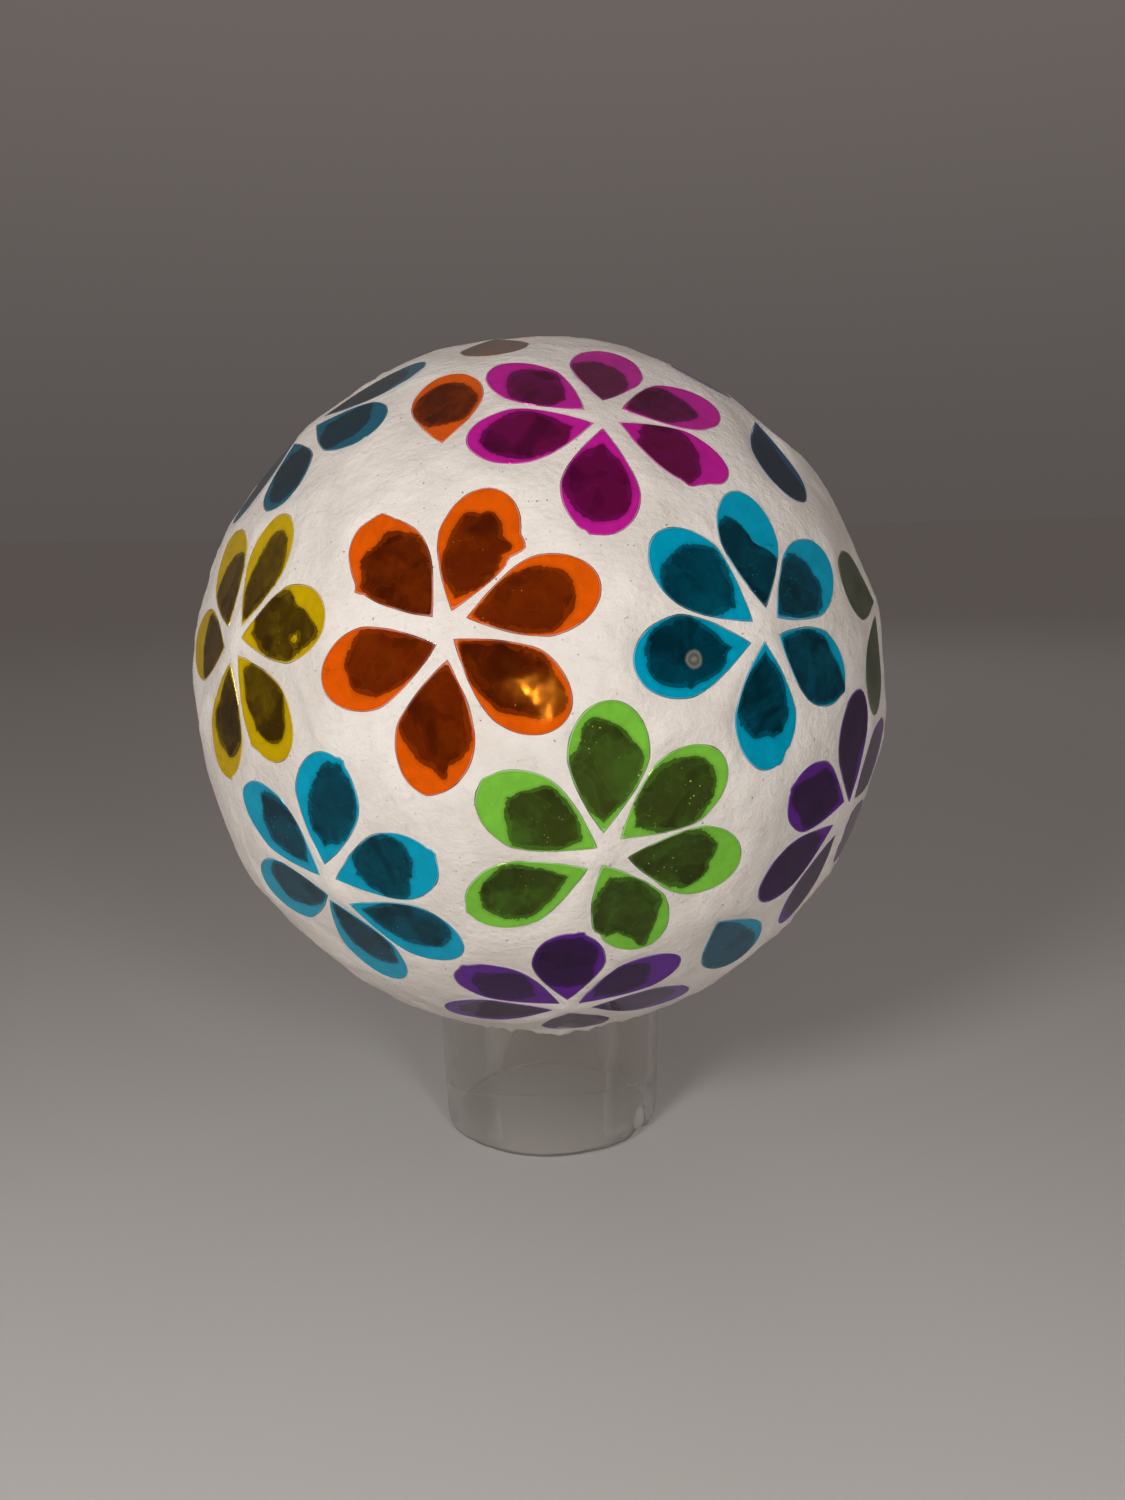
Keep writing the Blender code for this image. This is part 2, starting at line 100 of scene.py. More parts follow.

# %% [markdown]
# ## The pattern
#
# A flower is its colour, the longitude and latitude of its middle, and its petals. A petal is its
# bearing from that middle (clockwise from up), the space at its tip, a twist about its own
# middle, its share of the usual length and width, and what shows through it. White grout has
# crept under each petal from its edge, so it looks bright there, and dark where one looks through
# it into the ball; that dark is shade inside the ball, which the finish paints into the petal's
# colour. The eight numbers are the width of the bright rim in millimetres, at eight
# places round the petal from the tip, anticlockwise as seen from outside. A pair adds a place
# between those, such as (3.5, 0.7), for a lobe or a spike.

# %% Petals in view, flower by flower
IN_VIEW = {
    "orange": ("orange", -12, 14.5, [
        (318, 4, 1, 1, 1, [0, 0, 0.1, 2.2, 4.9, 2.4, 0.6, 0]),
        (13, 4, 2, 1, 1, [1.8, 0.2, 1.6, 3.6, 4.4, 2.8, 2.0, 0.3, (2.4, 2.8), (4.3, 4.9)]),
        (66, 4, 6, 1, 1, [1.0, 0.2, 0.6, 2.8, 4.7, 2.8, 1.7, 0.3, (3.6, 4.0)]),
        (126, 1.5, -1, 1, 1, [0.7, 0.4, 1.6, 3.3, 1.6, 1.4, 0.3, 0.2, (4.4, 0.9), (3.5, 2.9)]),
        (188, 4.5, 3, 1, 1, [0.4, 0, 0.3, 3.3, 4.7, 2.8, 0.6, 0.3, (4.6, 1.8), (4.75, 3.6)]),
        (249, 2.5, 5, 1, 1, [0, 0.2, 0.4, 3.3, 5.6, 3.4, 1.8, 0.3, (3.6, 4.5)]),
    ]),
    "magenta": ("magenta", 13, 46.5, [
        (18, 5.5, 0, 1, 1, [0, 0.3, 3.2, 5.5, 7.0, 3.8, 0.2, 0, (4.3, 6.0)]),
        (68, 5.5, 3, 1, 1, [1.2, 0.5, 2.6, 4.2, 6.4, 4.3, 0.6, 0]),
        (116, 3.5, 2, 0.96, 0.93, [3.8, 0, 0, 1.7, 5.9, 4.2, 1.0, 0]),
        (190, 3, 2, 1, 1, [3.2, 0.6, 0.3, 1.4, 2.8, 2.0, 1.6, 1.3]),
        (262, 1.5, 6, 1, 1, [3.8, 1.6, 0.8, 2.2, 2.5, 1.8, 0.8, 0.5]),
        (322, 3.5, 2, 0.98, 0.96, [4.2, 2.0, 0.9, 2.4, 4.3, 3.6, 0.7, 0.2]),
    ]),
    "yellow": ("yellow", -50, 12, [
        (321, 5, 3, 1, 1, [0.3, 0.2, 0.6, 4.6, 7.0, 5.0, 0.8, 0.4]),
        (13, 4, -4, 0.97, 0.97, [0.8, 0.2, 0.4, 1.8, 3.4, 4.4, 3.4, 1.0]),
        (71, 2.5, 4, 1, 1, [2.8, 0.5, 0.4, 1.2, 3.9, 4.4, 0.4, 0, (3.5, 0.7)]),
        (138, 2.5, 0, 1, 1, [2.8, 2.2, 3.2, 3.6, 3.4, 2.2, 0.1, 0]),
        (195, 3.5, -1, 1, 1, [1.0, 1.8, 1.6, 3.4, 5.2, 2.4, 0.2, 0.2]),
        (268, 4, 2, 1, 1, [0.3, 0.2, 0.8, 5.0, 7.4, 5.0, 0.4, 0.2]),
    ]),
    "cyan_left": ("cyan", -35.5, -22, [
        (17, 5.5, -1, 1, 1, [3.8, 0.5, 0.5, 0.7, 1.6, 4.2, 2.9, 1.6, (3.6, 1.2), (4.5, 3.6)]),
        (318, 2, -7, 1, 1, [3.2, 0.4, 0.1, 1.4, 6.0, 4.6, 2.7, 2.0]),
        (72, 4, 5, 1, 1, [4.9, 1.4, 0.3, 4.6, 5.3, 1.9, 0, 0.6]),
        (122, 5.5, -3, 1, 1, [2.4, 2.2, 2.9, 4.2, 3.4, 0.5, 0, 0.4]),
        (172, 3, -4, 1, 1, [0.8, 1.8, 3.0, 5.0, 5.5, 2.0, 0.6, 0.2]),
        (250, 1, 9, 1, 1, [0.2, 0, 0.2, 2.8, 5.8, 4.6, 3.6, 1.6]),
    ]),
    "green": ("green", 7.5, -15, [
        (4, 4.5, 0, 1, 1, [1.8, 0.5, 0.8, 3.4, 3.8, 1.4, 0.2, 0, (4.6, 1.8), (5.4, 2.3)]),
        (54, 4.5, 2, 1, 1, [3.0, 0.2, 0.3, 1.8, 2.7, 2.0, 0.6, 0.2]),
        (103, 5, 1, 1, 1, [0, 0.2, 1.2, 3.9, 6.4, 3.4, 0.7, 0]),
        (157, 2, -3, 1, 1, [3.0, 0.6, 0, 3.4, 0.9, 2.7, 0.5, 0.3,
                            (2.5, 0.6), (3.6, 3.0), (3.85, 0.6), (4.3, 2.5)]),
        (239, 3.5, 5, 1, 1, [3.4, 1.6, 0.6, 2.0, 3.2, 2.4, 1.6, 2.0]),
        (303, 1.5, -4, 1, 1, [2.6, 0.8, 1.0, 4.2, 5.6, 4.0, 0.6, 0.3]),
    ]),
    "cyan_right": ("cyan", 32.5, 13, [
        (6, 4.5, -2, 0.98, 0.97, [0, 0, 6.0, 8.0, 8.6, 2.0, 0, 0,
                                  (1.6, 0.3), (4.6, 5.0), (5.4, 0.5)]),
        (314, 3.5, 2, 1, 1, [3.8, 1.2, 0.7, 3.0, 4.5, 1.2, 0, 0.3]),
        (261, 4, 5, 1, 1, [3.9, 1.5, 0.1, 0.9, 2.4, 2.0, 1.7, 1.0]),
        (184, 1.5, -3, 1, 1, [1.8, 0.2, 0.4, 3.4, 6.2, 3.6, 1.8, 0.6]),
        (116, 3, 4, 0.92, 1, [1.0, 0, 0, 0.4, 0.2, 2.6, 1.0, 0.5, (4.3, 1.2)]),
        (57, 4, 2, 1, 1, [0.8, 0.3, 1.0, 4.0, 7.2, 4.6, 0.8, 0]),
    ]),
    "purple_right": ("purple", 54.5, -14.5, [
        (285, 2.5, -2, 0.92, 1, [2.0, 0.8, 1.2, 3.0, 0.8, 2.8, 0.8, 0.8]),
        (233, 6, 0, 0.94, 0.94, [3.0, 0.2, 0.2, 0.2, 0.2, 0.8, 0.2, 0.6]),
        (189, 6.5, -3, 0.96, 0.88, [0.5, 0.2, 0.4, 1.5, 2.0, 0.8, 0.2, 0.2]),
        (354, 0.5, -2, 1, 1, [1.0, 2.5, 0.8, 0.5, 0.3, 0.2, 0.2, 0.2]),
        (66, 3, -3, 1, 1, [1.0, 0.2, 0.6, 3.0, 4.0, 2.0, 0.4, 0.2]),
        (125, 5, 0, 1, 1, [2.5, 0.6, 0.4, 1.8, 3.0, 2.6, 1.0, 0.4]),
    ]),
    "purple_low": ("purple", 4, -47.5, [
        (358, 3.5, 1, 0.97, 0.97, [4.2, 0.3, 2.0, 0.8, 1.6, 0.4, 0.3, 0.4]),
        (301, 2.5, -3, 0.97, 0.96, [5.0, 2.0, 0.8, 3.4, 3.6, 2.8, 0.8, 1.6]),
        (247, 3.5, 2, 0.98, 0.93, [1.0, 0.6, 0.8, 2.4, 3.0, 2.0, 2.4, 1.2]),
        (58, 2.5, 0, 0.97, 0.93, [3.0, 1.4, 2.0, 5.4, 6.6, 2.6, 0.3, 0.4]),
        (110, 5, 1, 0.98, 0.93, [1.2, 0.4, 0.5, 3.0, 4.0, 2.2, 0.6, 0.3]),
        (171, 4, 0, 1, 1, [0.8, 0.4, 1.0, 2.6, 3.4, 2.0, 0.8, 0.4]),
    ]),
    "teal": ("teal", -63.5, 47.9, [
        (82, 4.2, 2, 1, 1, [4.0, 0.8, 0.4, 3.5, 5.0, 4.0, 0.4, 1.5]),
        (142, 3, -12, 0.95, 0.97, [3.5, 0.8, 2.0, 2.0, 1.5, 1.0, 0.3, 0.3]),
        (208, 2.5, -14, 0.97, 1, [4.0, 0.8, 0.6, 3.0, 4.0, 3.0, 0.8, 1.5]),
        (31, 4.6, -1, 1, 1, [0.6, 0.2, 0.4, 2.4, 4.0, 2.0, 0.4, 0.4]),
    ]),
    "olive": ("olive", 72, 14, [
        (292, 3.2, 0, 0.91, 1, [0.5, 0.2, 0.3, 0.8, 1.0, 0.5, 0.2, 0.2]),
        (226, 4.9, -16, 0.92, 1, [0.5, 0.2, 0.3, 1.2, 2.0, 1.5, 0.4, 0.2]),
    ]),
}

# %% Petals on their own, between the flowers
ON_THEIR_OWN = {
    "orange_single": ("orange", -19.5, 50.5, 347, 0.97, 0.97,
                      [5.2, 1.0, 1.0, 2.4, 3.2, 1.8, 0.2, 0.8]),
    "cyan_single": ("sea", 35.6, -35.9, 137, 1, 1, [0.3, 0.3, 0.3, 0.3, 0.4, 1.5, 2.5, 1.5]),
    "blue_single": ("blue", 53.1, 39.6, 204, 0.97, 1, [2.0, 0.5, 0.2, 0.4, 0.4, 0.6, 3.0, 3.0]),
    "brown_single": ("brown", -20, 73, 160, 0.96, 0.97, [0.2, 0.2, 0.2, 0.4, 0.6, 0.4, 0.2, 0.2]),
}

# %% Flowers on the far side, and the hidden petals of the two flowers at the ball's edge
#       colour, longitude and latitude of its middle, and its first petal's bearing
FAR = [
    ("orange", 206, 81, 6), ("purple", 88, 56, 54), ("cyan", 150, 50, 42), ("green", 222, 45, 57),
    ("orange", 121, 21, 3), ("magenta", 170, 15, 48), ("yellow", 211, 10, 3),
    ("orange", 258, 23, 42), ("yellow", 102, -15, 0), ("green", 143, -10, 18),
    ("teal", 185, -20, 54), ("purple", 237, -14, 51), ("magenta", 277, -11, 54),
    ("orange", 76, -47, 21), ("magenta", 143, -47, 18), ("cyan", 218, -47, 33),
    ("green", 284, -47, 18),
]
HIDDEN = {"teal": ("teal", -63.5, 47.9, [266, 324]), "olive": ("olive", 72, 14, [30, 85, 141])}
FAR_SINGLES = [
    ("yellow", 260, 52, 180), ("cyan", 255, -35, 240), ("magenta", 188, 37, 60),
    ("orange", 179, -48, 150), ("green", 117, -34, 210), ("cyan", 212, -18, 30),
    ("purple", 93, 28, 150),
]

# %% Where a place on the pattern is
def direction(longitude, latitude):
    """The way from the ball's centre to a place, as a unit vector."""
    a = math.radians(longitude)
    b = math.pi / 2 - (90 - latitude) * STRETCH
    return Vector((math.sin(a) * math.cos(b), -math.cos(a) * math.cos(b), math.sin(b)))


def set_out(out, along):
    """A petal's axes: X from its tip to its round end, Y to the left, Z away from the ball."""
    return Matrix((along, out.cross(along), out)).transposed()


def heading(out, bearing):
    """The way along the ball at a place, by its bearing."""
    east = Vector((0, 0, 1)).cross(out).normalized()
    b = math.radians(bearing)
    return math.sin(b) * east + math.cos(b) * out.cross(east)


def on_flower(longitude, latitude, bearing, space, twist, length):
    middle = direction(longitude, latitude)
    ahead = heading(middle, bearing)
    a = space * SPACE + length / 2 / GROUT
    out = math.cos(a) * middle + math.sin(a) * ahead
    along = math.cos(a) * ahead - math.sin(a) * middle
    return set_out(out, Matrix.Rotation(-math.radians(twist), 3, out) @ along)


def on_its_own(longitude, latitude, bearing):
    out = direction(longitude, latitude)
    return set_out(out, heading(out, bearing))


# %% [markdown]
# ## The outline of a cut petal
#
# Glass drops like these are cut in a factory and broken out by hand. Each one is the same drop,
# yet a corner or a nick is left here and there where the glass broke off the line. So the outline
# is worked out from the rule of a drop, evenly divided, and then moved in and out by a slow wave
# and a few nicks of its own.

# %% A petal's outline
DIVISIONS = 72                      # round a petal's edge
TIP_POWER = 1.5                     # how full the sides are between the tip and the widest place
WAVE = 0.13                         # mm by which the cutter strayed, at most, on the longest wave


def drop(length, width):
    """The drop by its rule, from the tip, anticlockwise, about its own middle."""
    widest = WIDEST * length
    u = np.linspace(0, 1, 80)
    side = np.column_stack((u * widest, width / 2 * (1 - (1 - u) ** TIP_POWER)))
    a = np.linspace(0, np.pi / 2, 60)[1:]
    end = np.column_stack((widest + (length - widest) * np.sin(a), width / 2 * np.cos(a)))
    half = np.concatenate((side, end)) - (length / 2, 0)
    return np.concatenate((half * (1, -1), half[-2:0:-1]))


def evenly(loop, count):
    """A closed loop divided evenly, from its first point."""
    closed = np.vstack((loop, loop[:1]))
    reach = np.concatenate(([0], np.cumsum(np.hypot(*np.diff(closed, axis=0).T))))
    at = np.linspace(0, reach[-1], count, endpoint=False)
    return np.column_stack([np.interp(at, reach, closed[:, k]) for k in (0, 1)])


def outwards(loop):
    """The direction away from a loop at each of its points."""
    t = np.roll(loop, -1, axis=0) - np.roll(loop, 1, axis=0)
    t /= np.linalg.norm(t, axis=1)[:, None]
    return np.column_stack((t[:, 1], -t[:, 0]))


def cut_outline(length, width, chance, nicks=()):
    """The drop as it was cut. A nick is (place from 0 to 8, mm out, half its width in places)."""
    loop = evenly(drop(length, width), DIVISIONS)
    place = np.arange(DIVISIONS) * 8 / DIVISIONS
    move = np.zeros(DIVISIONS)
    for waves in (2, 3, 5, 9):
        height = chance.uniform(-WAVE, WAVE) / waves ** 0.6
        move += height * np.sin(place * math.pi / 4 * waves + chance.uniform(0, 6.3))
    for at, out, half in nicks:
        away = np.abs((place - at + 4) % 8 - 4)
        move += out * np.clip(1 - away / half, 0, 1)
    return loop + outwards(loop) * (move * MM)[:, None]


# %% [markdown]
# ## The bright rim
#
# How far the grout crept under a petal is told by a number at each point of its mesh, which the
# finish reads: above zero the white backing shows, below zero the glass is clear down to the dark
# inside of the ball, which the finish paints as shade.

# %% How far a point lies inside the bright rim
RIM_CENTRE = 1.0                    # mm past a petal's middle, where the places are counted from
NO_RIM = -0.7                       # a rim's width where no grout shows at all
CLEAR_CORE = 0.4                    # mm round that centre that no rim covers


def rim_widths(places, rim):
    """The rim's width at places from 0 to 8, through the given widths, in a smooth closed curve."""
    given = {float(k): w for k, w in enumerate(rim[:8])}
    given.update({at: w for at, w in rim[8:]})
    at = np.array(sorted(given))
    width = np.array([given[k] or NO_RIM for k in at])
    x = np.concatenate((at[-2:] - 8, at, at[:2] + 8))
    w = np.concatenate((width[-2:], width, width[:2]))
    slope = (w[2:] - w[:-2]) / (x[2:] - x[:-2])
    x, w = x[1:-1], w[1:-1]
    k = np.clip(np.searchsorted(x, places % 8, side="right") - 1, 0, len(x) - 2)
    span = x[k + 1] - x[k]
    t = (places % 8 - x[k]) / span
    a, b = slope[k] * span * 0.8, slope[k + 1] * span * 0.8
    return ((2 * t ** 3 - 3 * t ** 2 + 1) * w[k] + (t ** 3 - 2 * t ** 2 + t) * a
            + (3 * t ** 2 - 2 * t ** 3) * w[k + 1] + (t ** 3 - t ** 2) * b)


def inside_rim(points, loop, rim, blobs=()):
    """Millimetres by which each point lies in the bright rim, less than zero in the dark middle."""
    centre = np.array((RIM_CENTRE * MM, 0))
    around = loop - centre
    turn = np.unwrap(np.arctan2(around[:, 1], around[:, 0]))
    turn -= turn[0]
    reach = np.hypot(*around.T)
    turn = np.append(turn, turn[0] + 2 * math.pi)
    reach = np.append(reach, reach[0])
    place = np.linspace(0, 8, len(turn))
    first = math.atan2(around[0, 1], around[0, 0])
    p = points - centre
    angle = (np.arctan2(p[:, 1], p[:, 0]) - first) % (2 * math.pi)
    out = np.interp(angle, turn, reach) / MM
    wide = rim_widths(np.interp(angle, turn, place), rim)
    inside = np.hypot(*p.T) / MM - np.maximum(out - wide, CLEAR_CORE)
    for x, y, radius in blobs:
        inside = np.maximum(inside, radius - np.hypot(points[:, 0] / MM - x, points[:, 1] / MM - y))
    return inside


# %% [markdown]
# ## A petal as a mesh
#
# The face is filled with a net of points by Delaunay triangulation, which Blender offers as
# `delaunay_2d_cdt`. That gives the face enough points to carry the rim and a faint waviness, so
# that it reflects like real sheet glass. Its edge has a narrow chamfer, and its sides lean
# towards the ball's centre.

# %% Filling an outline with points
def hex_net(low, high, step):
    rows = np.arange(low[1], high[1], step * math.sqrt(0.75))
    columns = np.arange(low[0], high[0], step)
    return np.array([(x + (k % 2) * step / 2, y) for k, y in enumerate(rows) for x in columns])


def from_loop(points, loop):
    """Each point's distance from a closed loop, below zero inside it."""
    a, b = loop, np.roll(loop, -1, axis=0)
    ab = b - a
    ap = points[:, None] - a
    t = np.clip((ap * ab).sum(2) / (ab ** 2).sum(1), 0, 1)
    far = np.sqrt(((ap - t[..., None] * ab) ** 2).sum(2)).min(1)
    px, py = points[:, :1], points[:, 1:]
    crosses = (a[:, 1] > py) != (b[:, 1] > py)
    with np.errstate(divide="ignore", invalid="ignore"):
        x = a[:, 0] + (py - a[:, 1]) / (b[:, 1] - a[:, 1]) * ab[:, 0]
    inside = (crosses & (px < x)).sum(1) % 2 == 1
    return np.where(inside, -far, far)


def filled(loop, points):
    """Triangles that fill the loop and use all the points; the loop's own come first."""
    every = np.concatenate((loop, points)) if len(points) else loop
    count = len(loop)
    edges = [(k, (k + 1) % count) for k in range(count)]
    result = delaunay_2d_cdt([Vector(p) for p in every], edges, [list(range(count))], 1, 1e-9)
    assert len(result[0]) == len(every)
    return [tuple(f) for f in result[2]]


# %% The mesh of one petal
NET = 0.85 * MM                     # between the points inside a petal's face
CHAMFER = 0.16 * MM
FACE_WAVE = 0.035 * MM              # how far the face is from flat
NO_BLISTER = 9.0                    # mm from a blister, on petals that have none


def petal_mesh(name, loop, rim, turned=None, blobs=(), seed=0.0, blister=None):
    """A flat drop of glass as thick as its bed, in the ball's frame or, if not turned, about 0."""
    inner = loop - outwards(loop) * CHAMFER
    net = hex_net(loop.min(0), loop.max(0), NET)
    net = net[from_loop(net, inner) < -0.45 * NET]
    face = filled(inner, net)
    flat = np.concatenate((inner, net))
    wave = [noise.noise(Vector((x * 160 + seed * 7.7, y * 160, seed))) * FACE_WAVE for x, y in flat]
    count = len(loop)
    rings = [(loop, FACE - CHAMFER), (loop, BED + 0.12 * MM), (inner, BED)]
    verts = [(x, y, FACE + w) for (x, y), w in zip(flat, wave)]
    where = [flat]
    for ring, z in rings:
        verts += [(x * z / FACE, y * z / FACE, z) for x, y in ring]
        where.append(ring)
    faces = list(face)
    starts = [0] + [len(flat) + k * count for k in range(3)]
    for upper, lower in zip(starts, starts[1:]):
        for k in range(count):
            j = (k + 1) % count
            faces.append((upper + k, lower + k, lower + j, upper + j))
    faces.append(tuple(starts[3] + k for k in reversed(range(count))))
    where = np.concatenate(where)
    mesh = bpy.data.meshes.new(name)
    if turned is not None:
        verts = [CENTRE + turned @ Vector(v) for v in verts]
    mesh.from_pydata(verts, [], faces)
    values = {"rim": inside_rim(where, loop, rim, blobs), "edge": -from_loop(where, loop) / MM,
              "chance": np.full(len(where), seed)}
    x, y = (where / MM).T
    values["blister"] = (np.hypot(x - blister[0], y - blister[1]) if blister
                         else np.full(len(where), NO_BLISTER))
    for key, value in values.items():
        carrier = mesh.attributes.new(key, "FLOAT", "POINT")
        carrier.data.foreach_set("value", value.astype(np.float32))
    mesh.shade_smooth()
    mesh.set_sharp_from_angle(angle=math.radians(28))
    return mesh


# %% [markdown]
# ## Writing a finish as sums
#
# A shader is sums on numbers and colours. The small class below wraps a socket, so that `1 -
# mask` or `mask * 0.3 + 0.1` adds the Math nodes itself. Colours go through Mix nodes, because
# Math turns them grey.

# %% Shader sockets as numbers
class Wire:
    def __init__(self, tree, socket):
        self.tree, self.socket = tree, socket

    def maths(self, operation, *values):
        node = self.tree.nodes.new("ShaderNodeMath")
        node.operation = operation
        for socket, value in zip(node.inputs, values):
            if isinstance(value, Wire):
                self.tree.links.new(value.socket, socket)
            else:
                socket.default_value = value
        return Wire(self.tree, node.outputs[0])

    def __add__(self, other):
        return self.maths("ADD", self, other)

    def __sub__(self, other):
        return self.maths("SUBTRACT", self, other)

    def __rsub__(self, other):
        return self.maths("SUBTRACT", other, self)

    def __mul__(self, other):
        return self.maths("MULTIPLY", self, other)

    def __truediv__(self, other):
        return self.maths("DIVIDE", self, other)

    __radd__, __rmul__ = __add__, __mul__

    def clip(self):
        return self.maths("MAXIMUM", self.maths("MINIMUM", self, 1.0), 0.0)

    def step(self, low, high):
        """0 below low, 1 above high, and a smooth rise between."""
        t = ((self - low) / (high - low)).clip()
        return t * t * (3 - 2 * t)

    def fade(self, reach):
        """1 at zero, falling to 0 at reach."""
        return 1 - (self / reach).clip()

    def line(self, reach):
        """1 where this is zero, falling to 0 at reach on either side."""
        return self.maths("ABSOLUTE", self).fade(reach)


class Sums:
    """A node tree that is written as sums on wires."""

    def __init__(self, tree):
        self.tree = tree

    def node(self, kind, settings=None, inputs=None, output=0):
        node = self.tree.nodes.new(kind)
        for key, value in (settings or {}).items():
            setattr(node, key, value)
        for key, value in (inputs or {}).items():
            self.put(node.inputs[key], value)
        return Wire(self.tree, node.outputs[output])

    def put(self, socket, value):
        if isinstance(value, Wire):
            self.tree.links.new(value.socket, socket)
        else:
            socket.default_value = value

    def place(self):
        return self.node("ShaderNodeTexCoord", output="Object")

    def attribute(self, name):
        return self.node("ShaderNodeAttribute", {"attribute_name": name}, output="Fac")

    def grain(self, scale, detail=2.0, rough=0.5, seed=0.0, warp=0.0):
        inputs = {"Vector": self.place(), "W": seed, "Scale": scale, "Detail": detail,
                  "Roughness": rough, "Distortion": warp}
        return self.node("ShaderNodeTexNoise", {"noise_dimensions": "4D"}, inputs, "Fac")

    def mix(self, factor, a, b):
        return self.node("ShaderNodeMix", {"data_type": "RGBA"}, {"Factor": factor, 6: a, 7: b}, 2)

    def bump(self, height, distance, strength=1.0):
        inputs = {"Height": height, "Distance": distance, "Strength": strength}
        return self.node("ShaderNodeBump", None, inputs, "Normal")


class Finish(Sums):
    """A material, whose shader the sums feed."""

    def __init__(self, name):
        self.material = bpy.data.materials.new(name)
        self.material.use_nodes = True
        super().__init__(self.material.node_tree)
        self.shader = self.tree.nodes["Principled BSDF"]

    def set(self, **values):
        for key, value in values.items():
            self.put(self.shader.inputs[key.replace("_", " ")], value)


print("a wire and a finish are ready")

# %% [markdown]
# ## Coloured glass over a pale or a dark ground
#
# Seen straight on, such a petal is two colours with a ragged line between them: vivid over the
# white grout and deep over the dark inside. The deep colour is painted shade: the dark inside of
# the ball, painted into the petal's colour. Beside the line the vivid side is painted darker, a
# painted shadow of the grout's edge. The line follows the rim that the mesh carries, and
# noise makes it ragged. Small bright flecks are air bells and dust in the glue, and one petal has
# a round blister in it. The rest is gloss: a low roughness and a faint waviness. At the cut edge
# the colour holds a dark seam of painted shade and a paler line, a painted highlight where the
# glass gathers light. The gloss is tinted with the glass's own colour, which keeps the dark
# middles deep.

# %% Colours, as seen on a screen, turned into the shader's linear light
def screen(*colour):
    linear = [c / 255 / 12.92 if c <= 10 else ((c / 255 + 0.055) / 1.055) ** 2.4 for c in colour]
    return (*linear, 1)


# Over grout, over the dark inside (painted shade), its glint, and how many air bells it has. Two
# single petals have a finish of their own: "blue" is teal glass, and "sea" is cyan glass with
# little dark behind it.
PETAL_COLOURS = {
    "orange": ((220, 88, 6), (84, 24, 3), (255, 172, 50), 0.6),
    "magenta": ((190, 27, 148), (86, 8, 52), (245, 90, 210), 0.4),
    "yellow": ((200, 166, 0), (66, 45, 2), (250, 225, 60), 0.5),
    "cyan": ((0, 156, 190), (1, 46, 60), (60, 210, 240), 0.8),
    "green": ((118, 190, 62), (46, 58, 20), (215, 225, 110), 1.0),
    "purple": ((92, 22, 138), (40, 5, 52), (160, 60, 230), 0.3),
    "teal": ((0, 96, 122), (8, 46, 58), (40, 150, 170), 0.4),
    "blue": ((0, 70, 112), (0, 34, 56), (40, 120, 170), 0.2),
    "sea": ((0, 146, 182), (0, 88, 116), (60, 210, 240), 0.4),
    "olive": ((92, 106, 72), (76, 88, 60), (130, 150, 100), 0.2),
    "brown": ((160, 116, 98), (142, 102, 86), (190, 150, 130), 0.2),
}


def shade(colour, share, white=0.0):
    """A darker colour, or one that is mixed with white."""
    return (*(c * share + white for c in colour[:3]), 1)


def over_grout(f, bright, line, chance):
    """Nearly even, with a painted shadow of the grout's edge darker where it meets the dark middle,
    and a hair crack here and there.
    """
    cloud = f.grain(190, 3, 0.55, chance + 5, warp=1.5).step(0.36, 0.7)
    colour = f.mix(cloud * 0.55, bright, shade(bright, 0.72))
    # Painted shadow: darker beside the line, as if cast by the grout's edge.
    colour = f.mix(line.fade(0.75) * 0.45, colour, shade(bright, 0.38))
    crack = (f.grain(110, 1, 0.5, chance + 21, warp=0.8) - 0.5).line(0.0035)
    crack = crack * f.grain(80, 1, 0.5, chance + 25).step(0.5, 0.58)
    return f.mix(crack * 0.45, colour, shade(bright, 0.3))


def over_painted_shade(f, bright, dark, line, wobble, chance):
    """Painted shade of the dark inside, with clouds, smears that run in curves, and a lighter
    border where the grout thins out.
    """
    own = f.grain(1, 0, 0.5, chance * 3.7)
    colour = f.mix(own.step(0.3, 0.7), shade(dark, 1.22), shade(dark, 0.66))
    warm = (*(0.45 * d + 0.15 * b for d, b in zip(dark[:3], bright[:3])), 1)
    cloud = f.grain(160, 5, 0.65, chance + 9, warp=0.6).step(0.38, 0.74)
    colour = f.mix(cloud * 0.8, colour, warm)
    smear = f.grain(95, 2, 0.5, chance + 8, warp=1.2)
    colour = f.mix(smear.step(0.50, 0.66) * 0.62, colour, shade(dark, 0.36))
    soft = f.grain(75, 3, 0.6, chance + 8, warp=0.8)
    colour = f.mix((1 - soft.step(0.34, 0.50)) * 0.45, colour, shade(bright, 0.27))
    thin = (line + wobble * 2.6).step(-0.8, -0.62)
    colour = f.mix(thin * 0.45, colour, shade(bright, 0.34))
    curve = smear.maths("PINGPONG", smear, 0.09).fade(0.010)
    return f.mix(curve * 0.11, colour, shade(bright, 0.5))


def air_bells(f, amount, chance):
    """Small round dots of different sizes, in swarms."""
    cells = {"Vector": f.place(), "Scale": 1400.0}
    near, which = (f.node("ShaderNodeTexVoronoi", {"voronoi_dimensions": "3D"}, cells, out)
                   for out in ("Distance", "Color"))
    swarm = f.grain(140, 2, 0.5, chance + 13).step(0.44, 0.66) * 0.8 + 0.2
    return ((which - 0.42).clip() * swarm * amount * 0.6 - near).step(0.0, 0.07)


def blistered(f, colour, away):
    """A dull round spot with a paler ring and middle, by the distance from its middle in mm."""
    colour = f.mix((1 - away.step(1.5, 1.9)) * 0.8, colour, screen(92, 96, 90))
    colour = f.mix((away - 1.35).line(0.3) * 0.8, colour, screen(128, 120, 108))
    return f.mix((1 - away.step(0.5, 0.8)) * 0.7, colour, screen(135, 128, 116))


